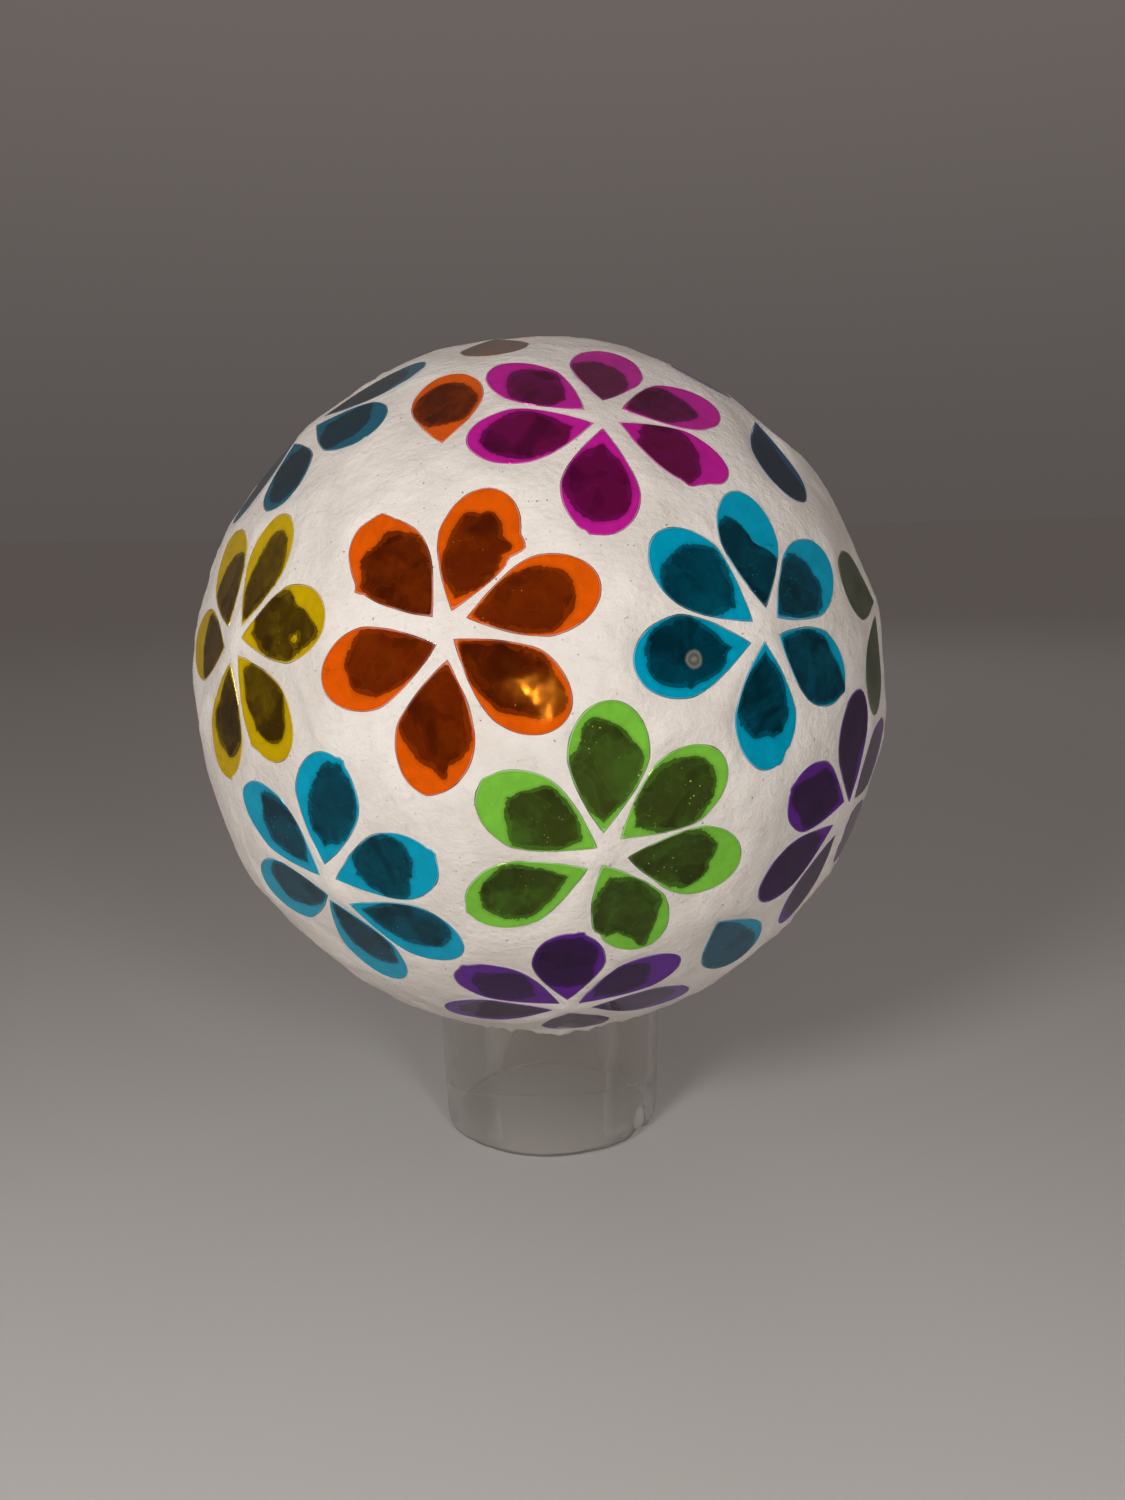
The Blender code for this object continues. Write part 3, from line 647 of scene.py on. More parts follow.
def petal_finish(name, bright, dark, glint, bells):
    f = Finish(name)
    bright, dark, glint = screen(*bright), screen(*dark), screen(*glint)
    rim, edge, chance = f.attribute("rim"), f.attribute("edge"), f.attribute("chance")
    # The line between bright and dark is ragged, more so in some places than in others.
    torn = f.grain(170, 1, 0.5, chance + 17).step(0.42, 0.66) * 1.5 + 0.3
    ragged = f.grain(1500, 3, 0.6, chance) - 0.5
    wobble = f.grain(330, 2, 0.5, chance + 3) - 0.5
    line = rim + ragged * torn + wobble * 1.1
    dots = air_bells(f, bells, chance)
    # The deep side is painted shade: the dark inside of the ball seen through the glass, with air
    # bells and a blister on it.
    deep = f.mix(dots * 0.75, over_painted_shade(f, bright, dark, line, wobble, chance), shade(glint, 0.75))
    deep = blistered(f, deep, f.attribute("blister") + wobble * 0.8)
    colour = f.mix(line.step(-0.04, 0.06), deep, over_grout(f, bright, line, chance))
    # At the cut edge a dark seam of painted shade, and outside it a pale line, a painted highlight
    # where the glass's edge catches light, brighter in some places.
    colour = f.mix((edge - 0.36).line(0.11) * 0.35, colour, shade(bright, 0.25))
    edge_highlight_patches = f.grain(150, 1, 0.5, chance + 31).step(0.42, 0.56)
    colour = f.mix(edge.fade(0.30) * (edge_highlight_patches * 0.7 + 0.2), colour, shade(bright, 0.75, 0.27))
    haze = f.grain(90, 3, 0.6, chance + 2, warp=0.6).step(0.5, 0.75)
    fine = f.grain(2600, 2, 0.6, chance + 40)
    waves = f.grain(240, 1, 0.5, chance + 1) + fine * 0.02 + dots * 0.3
    f.set(Base_Color=colour, Roughness=haze * 0.12 + dots * 0.2 + 0.05, IOR=1.45,
          Specular_Tint=shade(glint, 0.9, 0.03), Normal=f.bump(waves, 0.00003))
    return f.material


petal_finishes = {colour: petal_finish(f"{colour} petal glass", *how)
                  for colour, how in PETAL_COLOURS.items()}
print(len(petal_finishes), "petal finishes")

# %% [markdown]
# ## Petals in view
#
# Each of these stands for its own node of the frame. `NICKS` are corners that the glass cutter
# left, `BLOBS` are spots where a dab of grout shows through the middle, and `BLISTERS` are round
# spots of trapped air, both in millimetres from a petal's middle.

# %% Make the petals in view
NICKS = {
    "orange_1": [(5.8, 1.0, 0.16), (3.45, 0.9, 0.35)],
    "orange_2": [(2.25, 1.5, 0.30), (1.85, -0.5, 0.2)],
    "orange_5": [(4.0, 0.3, 0.3)],
    "magenta_3": [(2.6, 1.0, 0.22), (3.2, -0.7, 0.4)],
    "magenta_4": [(3.8, 0.5, 0.12), (3.5, 0.4, 0.12)],
    "cyan_left_1": [(3.6, 0.9, 0.16)],
    "cyan_left_3": [(4.15, 0.8, 0.18)],
    "cyan_right_4": [(4.5, 0.5, 0.15), (4.8, -0.4, 0.2)],
    "cyan_right_5": [(3.9, 0.6, 0.2)],
    "green_4": [(2.4, -0.6, 0.2)],
    "green_5": [(4.0, 0.4, 0.2)],
    "green_6": [(3.8, 0.4, 0.2)],
    "yellow_4": [(2.4, 0.8, 0.2)],
    "yellow_5": [(4.4, 0.6, 0.15)],
    "purple_right_1": [(3.85, 0.8, 0.12)],
    "purple_low_1": [(3.7, 1.0, 0.16)],
    "purple_low_2": [(3.7, 0.8, 0.16)],
}
BLOBS = {"yellow_3": [(3.6, -3.0, 0.9)]}
BLISTERS = {"cyan_right_3": (0.2, 0.8)}

petals = []                         # (axes, outline) of every petal, for the grout
in_view = []


def add(name, data):
    """A new object in the scene."""
    thing = bpy.data.objects.new(name, data)
    bpy.context.scene.collection.objects.link(thing)
    return thing


def add_in_view(key, colour, axes, long_share, wide_share, rim):
    chance = random.Random(key)
    length, width = TRUE_PETAL[0] * long_share, TRUE_PETAL[1] * wide_share
    loop = cut_outline(length, width, chance, NICKS.get(key, ()))
    petals.append([axes, loop])
    in_view.append((key, colour, axes, rim, chance.uniform(1, 60), len(petals) - 1))


for flower, (colour, longitude, latitude, rows) in IN_VIEW.items():
    for number, (bearing, space, twist, long_share, wide_share, rim) in enumerate(rows, 1):
        axes = on_flower(longitude, latitude, bearing, space, twist, PETAL[0] * long_share)
        add_in_view(f"{flower}_{number}", colour, axes, long_share, wide_share, rim)
for key, (colour, longitude, latitude, bearing, *shares, rim) in ON_THEIR_OWN.items():
    add_in_view(key, colour, on_its_own(longitude, latitude, bearing), *shares, rim)
print(len(in_view), "petals in view")

# %% [markdown]
# ## Petals on the far side
#
# The far petals repeat, so one node tree sets them. A few cut petals are made one by one, and the
# tree copies one of them onto each point. A point carries which cut it takes and how that is
# turned about the ball's centre, so that every petal lies flat on the ball.

# %% Eight cuts of petal to copy from: six for flowers, two for single petals
FAR_SHARE, SINGLE_SHARE = 0.96, 0.93    # of the usual size
cuts = bpy.data.collections.new("cut petals")
bpy.context.scene.collection.children.link(cuts)
cut_loops = []
for number in range(8):
    chance = random.Random(number + 40)
    share = FAR_SHARE if number < 6 else SINGLE_SHARE
    nicks = [(chance.uniform(3, 5), chance.uniform(0.3, 0.8), chance.uniform(0.12, 0.25))
             for nick in range(number % 3)]
    loop = cut_outline(TRUE_PETAL[0] * share, TRUE_PETAL[1] * share, chance, nicks)
    side = chance.uniform(-1, 1)
    rim = [chance.choice((0, 0.8, 2.4, 3.6)), 0.3, 0.5 + max(0, side) * 2.4, 2.9 + side * 1.4,
           chance.uniform(3.2, 6.2), 2.9 - side * 1.4, 0.5 + max(0, -side) * 2.4, 0.3]
    name = f"cut petal {number}"
    cuts.objects.link(bpy.data.objects.new(name, petal_mesh(name, loop, rim, seed=number + 3)))
    cut_loops.append(loop)
print(len(cut_loops), "cuts")

# %% The node tree that sets petals on the ball
tree = bpy.data.node_groups.new("Set petals on the ball", "GeometryNodeTree")
face = tree.interface
face.new_socket("Points", in_out="INPUT", socket_type="NodeSocketGeometry")
cuts_in = face.new_socket("Cut petals", in_out="INPUT", socket_type="NodeSocketCollection")
glass_in = face.new_socket("Glass", in_out="INPUT", socket_type="NodeSocketMaterial")
face.new_socket("Petals", in_out="OUTPUT", socket_type="NodeSocketGeometry")


def new(kind, **links):
    """A node of the tree, with outputs of other nodes on its inputs."""
    node = tree.nodes.new(kind)
    for name, output in links.items():
        tree.links.new(output, node.inputs[name.replace("_", " ")])
    return node


def carried(name, kind):
    """What each point carries under this name."""
    node = new("GeometryNodeInputNamedAttribute")
    node.data_type = kind
    node.inputs["Name"].default_value = name
    return node.outputs["Attribute"]


source = new("NodeGroupInput").outputs
each = new("GeometryNodeCollectionInfo", Collection=source["Cut petals"])
each.inputs["Separate Children"].default_value = True
turn = new("FunctionNodeEulerToRotation", Euler=carried("turn", "FLOAT_VECTOR"))
place = new("GeometryNodeInstanceOnPoints", Points=source["Points"],
            Instance=each.outputs["Instances"], Instance_Index=carried("cut", "INT"),
            Rotation=turn.outputs["Rotation"])
place.inputs["Pick Instance"].default_value = True
real = new("GeometryNodeRealizeInstances", Geometry=place.outputs["Instances"])
coat = new("GeometryNodeSetMaterial", Geometry=real.outputs["Geometry"], Material=source["Glass"])
new("NodeGroupOutput", Petals=coat.outputs["Geometry"])
print(len(tree.nodes), "nodes in the tree")


def set_petals(name, colour, spots):
    """One piece of glass petals from (axes, cut) spots, as a plain mesh."""
    mesh = bpy.data.meshes.new(name)
    mesh.from_pydata([CENTRE] * len(spots), [], [])
    turns = [axes.to_euler() for axes, cut in spots]
    carrier = mesh.attributes.new("turn", "FLOAT_VECTOR", "POINT")
    carrier.data.foreach_set("vector", np.array(turns).ravel())
    carrier = mesh.attributes.new("cut", "INT", "POINT")
    carrier.data.foreach_set("value", [cut for axes, cut in spots])
    host = add(name + " points", mesh)
    modifier = host.modifiers.new("petals", "NODES")
    modifier.node_group = tree
    modifier[cuts_in.identifier] = cuts
    modifier[glass_in.identifier] = petal_finishes[colour]
    graph = bpy.context.evaluated_depsgraph_get()
    plain = bpy.data.meshes.new_from_object(host.evaluated_get(graph))
    bpy.data.objects.remove(host)
    plain.name = name
    piece = add(name, plain)
    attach(piece, "root")
    petals.extend([axes, cut_loops[cut]] for axes, cut in spots)


# %% Set the far flowers
chance = random.Random(5)
which = random.Random(8)
for number, (colour, longitude, latitude, first) in enumerate(FAR, 1):
    spots = []
    for k in range(6):
        bearing = first + 60 * k + chance.uniform(-2, 2)
        space = 3.2 + chance.uniform(-0.4, 0.4)
        twist = chance.uniform(-2, 2)
        axes = on_flower(longitude, latitude, bearing, space, twist, PETAL[0] * FAR_SHARE)
        spots.append((axes, which.randrange(6)))
    set_petals(f"far_flower_{number}_{colour}", colour, spots)
for flower, (colour, longitude, latitude, bearings) in HIDDEN.items():
    spots = [(on_flower(longitude, latitude, bearing, 4, 0, PETAL[0] * FAR_SHARE),
              which.randrange(6)) for bearing in bearings]
    set_petals(f"hidden_{flower}_petals", colour, spots)
for number, (colour, longitude, latitude, bearing) in enumerate(FAR_SINGLES, 1):
    spots = [(on_its_own(longitude, latitude, bearing), 6 + number % 2)]
    set_petals(f"far_single_{number}_{colour}", colour, spots)
for cut in list(cuts.objects):
    bpy.data.objects.remove(cut)
bpy.data.collections.remove(cuts)
print(len(petals), "petals on the ball")

# %% [markdown]
# ## Room between neighbours
#
# Petals set one by one nearly touch in places. Where two outlines come closer than a thread of
# grout, both are drawn back a little, so that no two pieces of glass meet.

# %% Draw back the petals in view where they come too close
THREAD = 0.42 * MM                  # the least room between two petals
NEIGHBOURS = 0.42                   # radians between the middles of petals that may come close


def on_face(axes, points):
    """Places in space, from the ball's centre, of points on a petal's face."""
    m = np.array(axes)
    return points @ m[:, :2].T + FACE * m[:, 2]


def in_face(axes, places):
    """Where lines from the ball's centre to these places cross a petal's face."""
    local = places @ np.array(axes)
    return local[:, :2] * FACE / local[:, 2:]


outs = np.array([axes.col[2] for axes, loop in petals])
neighbours = [[j for j in np.nonzero(outs @ out > math.cos(NEIGHBOURS))[0] if j != k]
              for k, out in enumerate(outs)]


def clearance(k, places, loops):
    """How far places lie from the petals round petal k, in metres."""
    least = np.full(len(places), 1.0)
    for j in neighbours[k]:
        axes, loop = loops[j]
        least = np.minimum(least, from_loop(in_face(axes, places), loop))
    return least


drawn_back = 0
for sweep in range(2):
    before = [[axes, loop.copy()] for axes, loop in petals]
    for k in range(len(in_view)):
        axes, loop = before[k]
        short = THREAD - clearance(k, on_face(axes, loop), before)
        move = np.clip(short, 0, None) / 2
        drawn_back = max(drawn_back, move.max() / MM)
        petals[k][1] = loop - outwards(loop) * move[:, None]
print("drawn back by at most", round(drawn_back, 2), "mm")

# %% Now the petals in view become pieces
for key, colour, axes, rim, seed, k in in_view:
    name = f"{key}_glass"
    mesh = petal_mesh(name, petals[k][1], rim, axes, BLOBS.get(key, ()), seed, BLISTERS.get(key))
    mesh.materials.append(petal_finishes[colour])
    piece = add(name, mesh)
    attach(piece, "root")
    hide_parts(f"petal_{key}")
print("petals in view made")

# %% [markdown]
# ## The grout
#
# The grout is one skin over the whole ball, with a hole round each petal. The ball is laid out
# flat on a chart by looking at it from below, which keeps every triangle's shape, and the skin is
# a Delaunay triangulation of that chart. Its height is then worked out for each point. Beside a
# petal it meets the petal's face, and between petals it evens out to the ball, with the lumps of
# a coat that was pressed on by hand.

# %% The chart, and the hem at the neck
HEM_RADIUS = 31.0 * MM              # where the ball gives way to the hem
HEM_FROM = math.pi - math.asin(HEM_RADIUS / GROUT)      # and its angle from the top
HEM_SPAN = 4.8 * MM / GROUT         # the angle from there to the hem's usual end
HEM_END = 31.0 * MM                 # that end's height
HEM_THICK = 1.1 * MM
HEM_PULL = 4.2 * MM                 # how long the hem's curve keeps its direction at each end
RAGGED = 0.20                       # how far its ragged end moves, as a share of the span


def to_chart(places):
    unit = places / np.linalg.norm(places, axis=1)[:, None]
    return unit[:, :2] / (1 + unit[:, 2:])


def from_chart(points):
    square = (points ** 2).sum(1)
    return np.column_stack((2 * points, 1 - square)) / (1 + square)[:, None]


def on_ball(radius, angles):
    """(radius, height) along the ball, by angles from its top."""
    return [(radius * math.sin(a), CENTRE.z + radius * math.cos(a)) for a in angles]


def in_fillet(radius, angles):
    """(radius, height) along the corner between ball and neck, by angles from straight up."""
    return [(FILLET_OUT - radius * math.sin(a), FILLET_UP + radius * math.cos(a)) for a in angles]


def path(points):
    """A path through (radius, height) as a function of 0 to 1, and straight down past its end."""
    points = np.array(points)
    reach = np.concatenate(([0], np.cumsum(np.hypot(*np.diff(points, axis=0).T))))
    reach /= reach[-1]

    def at(u):
        over = np.maximum(u - 1, 0) * 5 * MM
        return np.interp(u, reach, points[:, 0]), np.interp(u, reach, points[:, 1]) - over
    return at


def neck(height):
    """The neck's outer radius at a height."""
    return NECK_RIM + (NECK_TOP - NECK_RIM) * height / FILLET_UP


start = np.array((GROUT * math.sin(HEM_FROM), CENTRE.z + GROUT * math.cos(HEM_FROM)))
foot = np.array((neck(HEM_END) + GAP + HEM_THICK, HEM_END))
t = np.linspace(0, 1, 24)[:, None]
lead = HEM_PULL * np.array((math.cos(HEM_FROM), -math.sin(HEM_FROM)))
drop_down = np.array((0, -HEM_PULL))
outer_hem = path((2 * t ** 3 - 3 * t ** 2 + 1) * start + (t ** 3 - 2 * t ** 2 + t) * lead
                 + (3 * t ** 2 - 2 * t ** 3) * foot + (t ** 3 - t ** 2) * drop_down)
LEAN = math.pi - TOP_TO_FILLET      # where the fillet begins, by its own angle
inner_hem = path(on_ball(BED, np.linspace(HEM_FROM, TOP_TO_FILLET, 6))
                 + in_fillet(FILLET - GAP, np.linspace(LEAN, math.pi / 2, 9)[1:])
                 + [(neck(HEM_END) + GAP, HEM_END)])
print("the hem runs from", np.round(start / MM, 1), "to", np.round(foot / MM, 1), "mm")

# %% [markdown]
# The hem's edge is ragged: it hangs lower in some places than in others, by a millimetre or so.

# %% Where the hem ends, all the way round
HEM_POINTS = 420
around = np.linspace(0, 2 * math.pi, HEM_POINTS, endpoint=False)     # from +X, seen from above
ragged = np.array([sum(noise.noise(Vector((math.cos(a) * tight, math.sin(a) * tight, own))) * size
                       for tight, own, size in ((2.2, 1.7, 1.1), (7, 4.1, 0.7), (24, 6.3, 0.35)))
                   for a in around])
hem_reach = 1 + ragged * RAGGED                                      # as shares of HEM_SPAN
hem_angle = HEM_FROM + HEM_SPAN * hem_reach
hem_loop = np.column_stack((np.sin(hem_angle) * np.cos(around), np.sin(hem_angle) * np.sin(around),
                            np.cos(hem_angle)))


def hem_share(unit):
    """How far down the hem a direction is, and how far from the hem's end, both as shares."""
    angle = np.arccos(np.clip(unit[:, 2], -1, 1))
    turn = np.arctan2(unit[:, 1], unit[:, 0]) % (2 * math.pi)
    end = np.interp(turn, np.append(around, 2 * math.pi), np.append(hem_reach, hem_reach[0]))
    share = (angle - HEM_FROM) / HEM_SPAN
    return share, end - share


# %% Points of the skin
def fibonacci(spacing):
    """Even points on the unit ball, about spacing apart on the grout."""
    count = int(4 * math.pi * GROUT ** 2 / (spacing ** 2 * math.sqrt(0.75)))
    k = np.arange(count) + 0.5
    z = 1 - 2 * k / count
    turn = k * math.pi * (3 - math.sqrt(5))
    r = np.sqrt(1 - z * z)
    return np.column_stack((r * np.cos(turn), r * np.sin(turn), z))


def petals_near(unit, reach):
    """For each petal, which of these directions lie near it, and where they cross its face."""
    for k, (axes, loop) in enumerate(petals):
        near = np.nonzero(unit @ outs[k] > math.cos(reach))[0]
        yield k, near, in_face(axes, unit[near])


def away_from_petals(unit):
    """How far these directions lie from the nearest petal, in metres, up to a limit."""
    least = np.full(len(unit), 1.0)
    for k, near, points in petals_near(unit, 0.26):
        least[near] = np.minimum(least[near], from_loop(points, petals[k][1]))
    return least


SHOULDER = 0.42 * MM                # from the grout's brink to its first points beside it
edge_gap = []                       # between each point of a petal's edge and the grout's brink
for k, (axes, loop) in enumerate(petals):
    free = clearance(k, on_face(axes, loop), petals)
    wave = np.array([noise.noise(Vector((*p, k)) * 300) for p in loop])
    gap = np.clip(0.09 + 0.10 * wave, 0.04, 0.2) * MM
    edge_gap.append(np.minimum(gap, np.maximum(free / 2 - 0.08 * MM, 0.01 * MM)))
brinks = [loop + outwards(loop) * gap[:, None] for (axes, loop), gap in zip(petals, edge_gap)]
rims = np.concatenate([on_face(axes, brink) for (axes, loop), brink in zip(petals, brinks)])
shoulders = np.concatenate([on_face(axes, brink + outwards(brink) * SHOULDER)
                            for (axes, loop), brink in zip(petals, brinks)])
shoulders /= np.linalg.norm(shoulders, axis=1)[:, None]
shoulders = shoulders[away_from_petals(shoulders) > 0.38 * MM]
print(len(rims), "points round the petals,", len(shoulders), "beside them")


def net_between(spacing, free):
    """Even points that keep free of the petals and of the hem's end."""
    net = fibonacci(spacing)
    share, left = hem_share(net)
    net = net[left * HEM_SPAN * GROUT > free * 0.6]
    return net[away_from_petals(net) > free]


between = net_between(1.06 * MM, 0.86 * MM)
print(len(between), "points between")


# %% The chart's triangles
def skin(free_points):
    """Triangles between hem and petals. The petals' points come first, the hem's, then these."""
    every = np.concatenate((to_chart(rims), to_chart(hem_loop), to_chart(free_points)))
    edges = []
    for k in range(len(petals)):
        first = k * DIVISIONS
        edges += [(first + i, first + (i + 1) % DIVISIONS) for i in range(DIVISIONS)]
    first = len(rims)
    edges += [(first + i, first + (i + 1) % HEM_POINTS) for i in range(HEM_POINTS)]
    result = delaunay_2d_cdt([Vector(p) for p in every], edges, [], 0, 1e-9)
    assert len(result[0]) == len(every), (len(result[0]), len(every))
    faces = np.array(result[2])
    owner = np.full(len(every), -1)
    owner[:len(rims)] = np.repeat(np.arange(len(petals)), DIVISIONS)
    owner[len(rims):len(rims) + HEM_POINTS] = len(petals)
    ours = owner[faces]
    same = (ours[:, 0] >= 0) & (ours[:, 0] == ours[:, 1]) & (ours[:, 1] == ours[:, 2])
    middle = from_chart(every[faces].mean(1))
    keep = ~same
    for k in range(len(petals) + 1):
        mine = np.nonzero(same & (ours[:, 0] == k))[0]
        if k < len(petals):
            outside = from_loop(in_face(petals[k][0], middle[mine]), brinks[k]) > 0
        else:
            outside = hem_share(middle[mine])[1] > 0
        keep[mine[outside]] = True
    return faces[keep]


# %% Heights of the skin
FORGOTTEN = 3.6                     # mm from the petals where the grout no longer follows them
BULGE = 0.28 * MM                   # how far it stands out there
BELOW_FACE = 0.10 * MM              # and how far below a petal's face it lies beside that


def heights(unit):
    """The grout's distance from the ball's centre, and how far the nearest petal is."""
    weight = np.full(len(unit), 1 / FORGOTTEN ** 2)
    total = weight * (GROUT + BULGE)
    nearest = np.full(len(unit), 9.0)
    for k, near, points in petals_near(unit, 0.30):
        far = np.maximum(from_loop(points, petals[k][1]), 0) / MM
        w = 1 / (far + 0.12) ** 2
        plane = (FACE - BELOW_FACE) / (unit[near] @ outs[k])
        weight[near] += w
        total[near] += w * plane
        nearest[near] = np.minimum(nearest[near], far)
    return total / weight, nearest


def lumps(unit, nearest):
    """The coat's own unevenness: soft lumps, strokes that left a ridge, and fine grain."""
    free = np.clip(nearest / 2.2, 0, 1)
    rise = np.empty(len(unit))
    for i, u in enumerate(unit):
        p = Vector(u)
        stroke = abs(noise.noise(Vector((p.x * 6 + p.z * 2, p.y * 6, p.z * 3 + 9))))
        ridge = max(0.0, 1 - stroke * 9) * max(0.0, noise.noise(p * 3 + Vector((5, 5, 2))) + 0.25)
        rise[i] = (0.40 * noise.noise(p * 5.2) + 0.20 * noise.noise(p * 13 + Vector((3, 1, 7)))
                   + 0.45 * ridge) * free[i]
        rise[i] += 0.09 * noise.noise(p * 30) * (0.35 + free[i])
    return rise * MM


def skin_places(unit, outer):
    """Places of directions on the grout's outside or, where it lies on the glass, its inside."""
    share, left = hem_share(unit)
    if outer:
        radius, nearest = heights(unit)
        radius = radius + lumps(unit, nearest)
    else:
        radius = np.full(len(unit), BED)
    places = unit * radius[:, None] + np.array(CENTRE)
    hem = np.nonzero(share > 0)[0]
    flat = unit[hem, :2] / np.linalg.norm(unit[hem, :2], axis=1)[:, None]
    r, z = inner_hem(share[hem])
    if outer:
        thick = np.clip(left[hem] * HEM_SPAN * GROUT / (0.9 * MM), 0, 1)
        thick = 0.25 + 0.75 * np.sqrt(1 - (1 - thick) ** 2)
        proud = (radius[hem] - GROUT) * np.clip(1 - share[hem], 0, 1)
        ro, zo = outer_hem(share[hem])
        r, z = r + (ro + proud - r) * thick, z + (zo - z) * thick
    places[hem] = np.column_stack((flat * r[:, None], z))
    return places


# %% Build the grout
SUNK = 0.07                         # mm by which the grout's brink lies below a petal's face


def brink_places():
    """The grout's brink round each petal, a little below the petal's face or level with it."""
    result = []
    for k, ((axes, loop), brink) in enumerate(zip(petals, brinks)):
        m = np.array(axes)
        low = np.array([1 + 1.2 * noise.noise(Vector((*p, k + 0.5)) * 240) for p in brink])
        z = FACE - SUNK * low * MM
        flat = (brink * (z / FACE)[:, None]) @ m[:, :2].T
        result.append(flat + z[:, None] * m[:, 2] + np.array(CENTRE))
    return np.concatenate(result)


coarse = net_between(3.2 * MM, 1.5 * MM)
top_free = np.concatenate((shoulders, between))
top_faces, low_faces = skin(top_free), skin(coarse)
top = np.concatenate((brink_places(), skin_places(hem_loop, True), skin_places(top_free, True)))
low_rims = rims / np.linalg.norm(rims, axis=1)[:, None]
low = np.concatenate((low_rims * BED + np.array(CENTRE), skin_places(hem_loop, False),
                      skin_places(coarse, False)))
walls = []
rings = [(k * DIVISIONS, DIVISIONS) for k in range(len(petals))] + [(len(rims), HEM_POINTS)]
for first, count in rings:
    for i in range(count):
        a, b = first + i, first + (i + 1) % count
        walls.append((a, b, b + len(top), a + len(top)))
mesh = bpy.data.meshes.new("grout_coat")
mesh.from_pydata(np.concatenate((top, low)).tolist(), [],
                 top_faces.tolist() + (low_faces + len(top)).tolist() + walls)
bm = bmesh.new()
bm.from_mesh(mesh)
bmesh.ops.recalc_face_normals(bm, faces=bm.faces)
odd = sum(len(e.link_faces) != 2 for e in bm.edges)
print("grout:", sum(len(f.verts) - 2 for f in bm.faces), "triangles,", odd, "odd edges,",
      round(bm.calc_volume() * 1e6, 1), "cm3")
bm.to_mesh(mesh)
bm.free()
mesh.shade_smooth()
mesh.set_sharp_from_angle(angle=math.radians(52))
grout = add("grout_coat", mesh)
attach(grout, "root")
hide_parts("grout")

# %% [markdown]
# ## The grout's finish
#
# Dry grout is a matt off-white with a fine sandy grain. Strokes of the fingers and the sponge
# that spread it run in long soft streaks, and there are small pits where air came out, with
# painted shade darkening them.

# %% Finish of the grout
f = Finish("white grout")
sand = f.grain(4200, 3, 0.7)
coarse = f.grain(700, 3, 0.6, 4.0)
drawn = f.node("ShaderNodeMapping", None, {"Vector": f.place(), "Rotation": (0.5, 0.4, 0.9),
                                           "Scale": (170, 620, 300)})
streaks = f.node("ShaderNodeTexNoise", {"noise_dimensions": "3D"},
                 {"Vector": drawn, "Scale": 1.0, "Detail": 4.0, "Roughness": 0.6,
                  "Distortion": 1.4})
patches = f.grain(60, 4, 0.6, 2.0)
pits_and_pit_shade = f.grain(1300, 1, 0.5, 9.0).step(0.27, 0.2)
specks = f.grain(2400, 1, 0.5, 12.0).step(0.72, 0.76) * f.grain(160, 1, 0.5, 14.0).step(0.5, 0.6)
colour = f.mix(patches.step(0.35, 0.7), screen(232, 226, 219), screen(219, 211, 203))
colour = f.mix(streaks.step(0.5, 0.75) * 0.35, colour, screen(200, 191, 183))
# Painted shade in the pits: the same mask sinks them in the bump below.
colour = f.mix(pits_and_pit_shade * 0.7, colour, screen(150, 140, 132))
colour = f.mix(specks * 0.6, colour, screen(120, 108, 98))
f.set(Base_Color=colour, Roughness=sand * 0.25 + 0.6,
      Normal=f.bump(sand * 0.35 + coarse * 1.1 + streaks * 0.8 - pits_and_pit_shade * 1.2, 0.00026, 1.0))
grout.data.materials.append(f.material)
print("grout finished")

# %% [markdown]
# ## The clear globe
#
# The ball and its neck are one piece of blown glass. It is turned from one closed outline: down
# the outside, round the rim and back up the inside. The rim was cracked off and is neither flat
# nor even, and it has a chip at the front. The outline is swept round by mesh code, because the
# rim's points each move on their own.

# %% Turn the globe
TURNS = 192
SOFT_EDGE = 1.2 * MM                # height at which the walls turn into the rim
CHIP_AT = math.radians(-37)         # from +X, anticlockwise from above
CHIP_HALF = 0.085                   # half the chip's width, in radians
CHIP_UP = 3.4 * MM                  # its middle's height, and half its own height
CHIP_DEEP = 0.6 * MM
UNEVEN = 9 * MM                     # height where the rim's unevenness has died out


def wall_outline():
    """(radius, height) from the top of the outside, down, round the rim and up the inside."""
    outside = on_ball(GLOBE, np.linspace(0, TOP_TO_FILLET, 72))
    fillet = in_fillet(FILLET, np.linspace(LEAN, math.pi / 2, 10)[1:])
    shank = [(neck(z), z) for z in np.linspace(FILLET_UP, SOFT_EDGE, 22)[1:]]
    soft = [(NECK_RIM - 0.1 * MM, 0.35 * MM), (NECK_RIM - 0.55 * MM, 0),
            (NECK_RIM - WALL + 0.5 * MM, 0), (NECK_RIM - WALL + 0.08 * MM, 0.3 * MM)]
    bore = [(neck(z) - WALL, z) for z in np.linspace(SOFT_EDGE, FILLET_UP, 22)]
    inner_fillet = in_fillet(FILLET + WALL, np.linspace(math.pi / 2, LEAN, 12)[1:])
    inside = on_ball(GLOBE - WALL, np.linspace(TOP_TO_FILLET, 0, 66)[1:])
    return outside + fillet + shank + soft + bore + inner_fillet + inside


def bump_at(turn, middle, half):
    return math.exp(-((turn - middle) / half) ** 2)


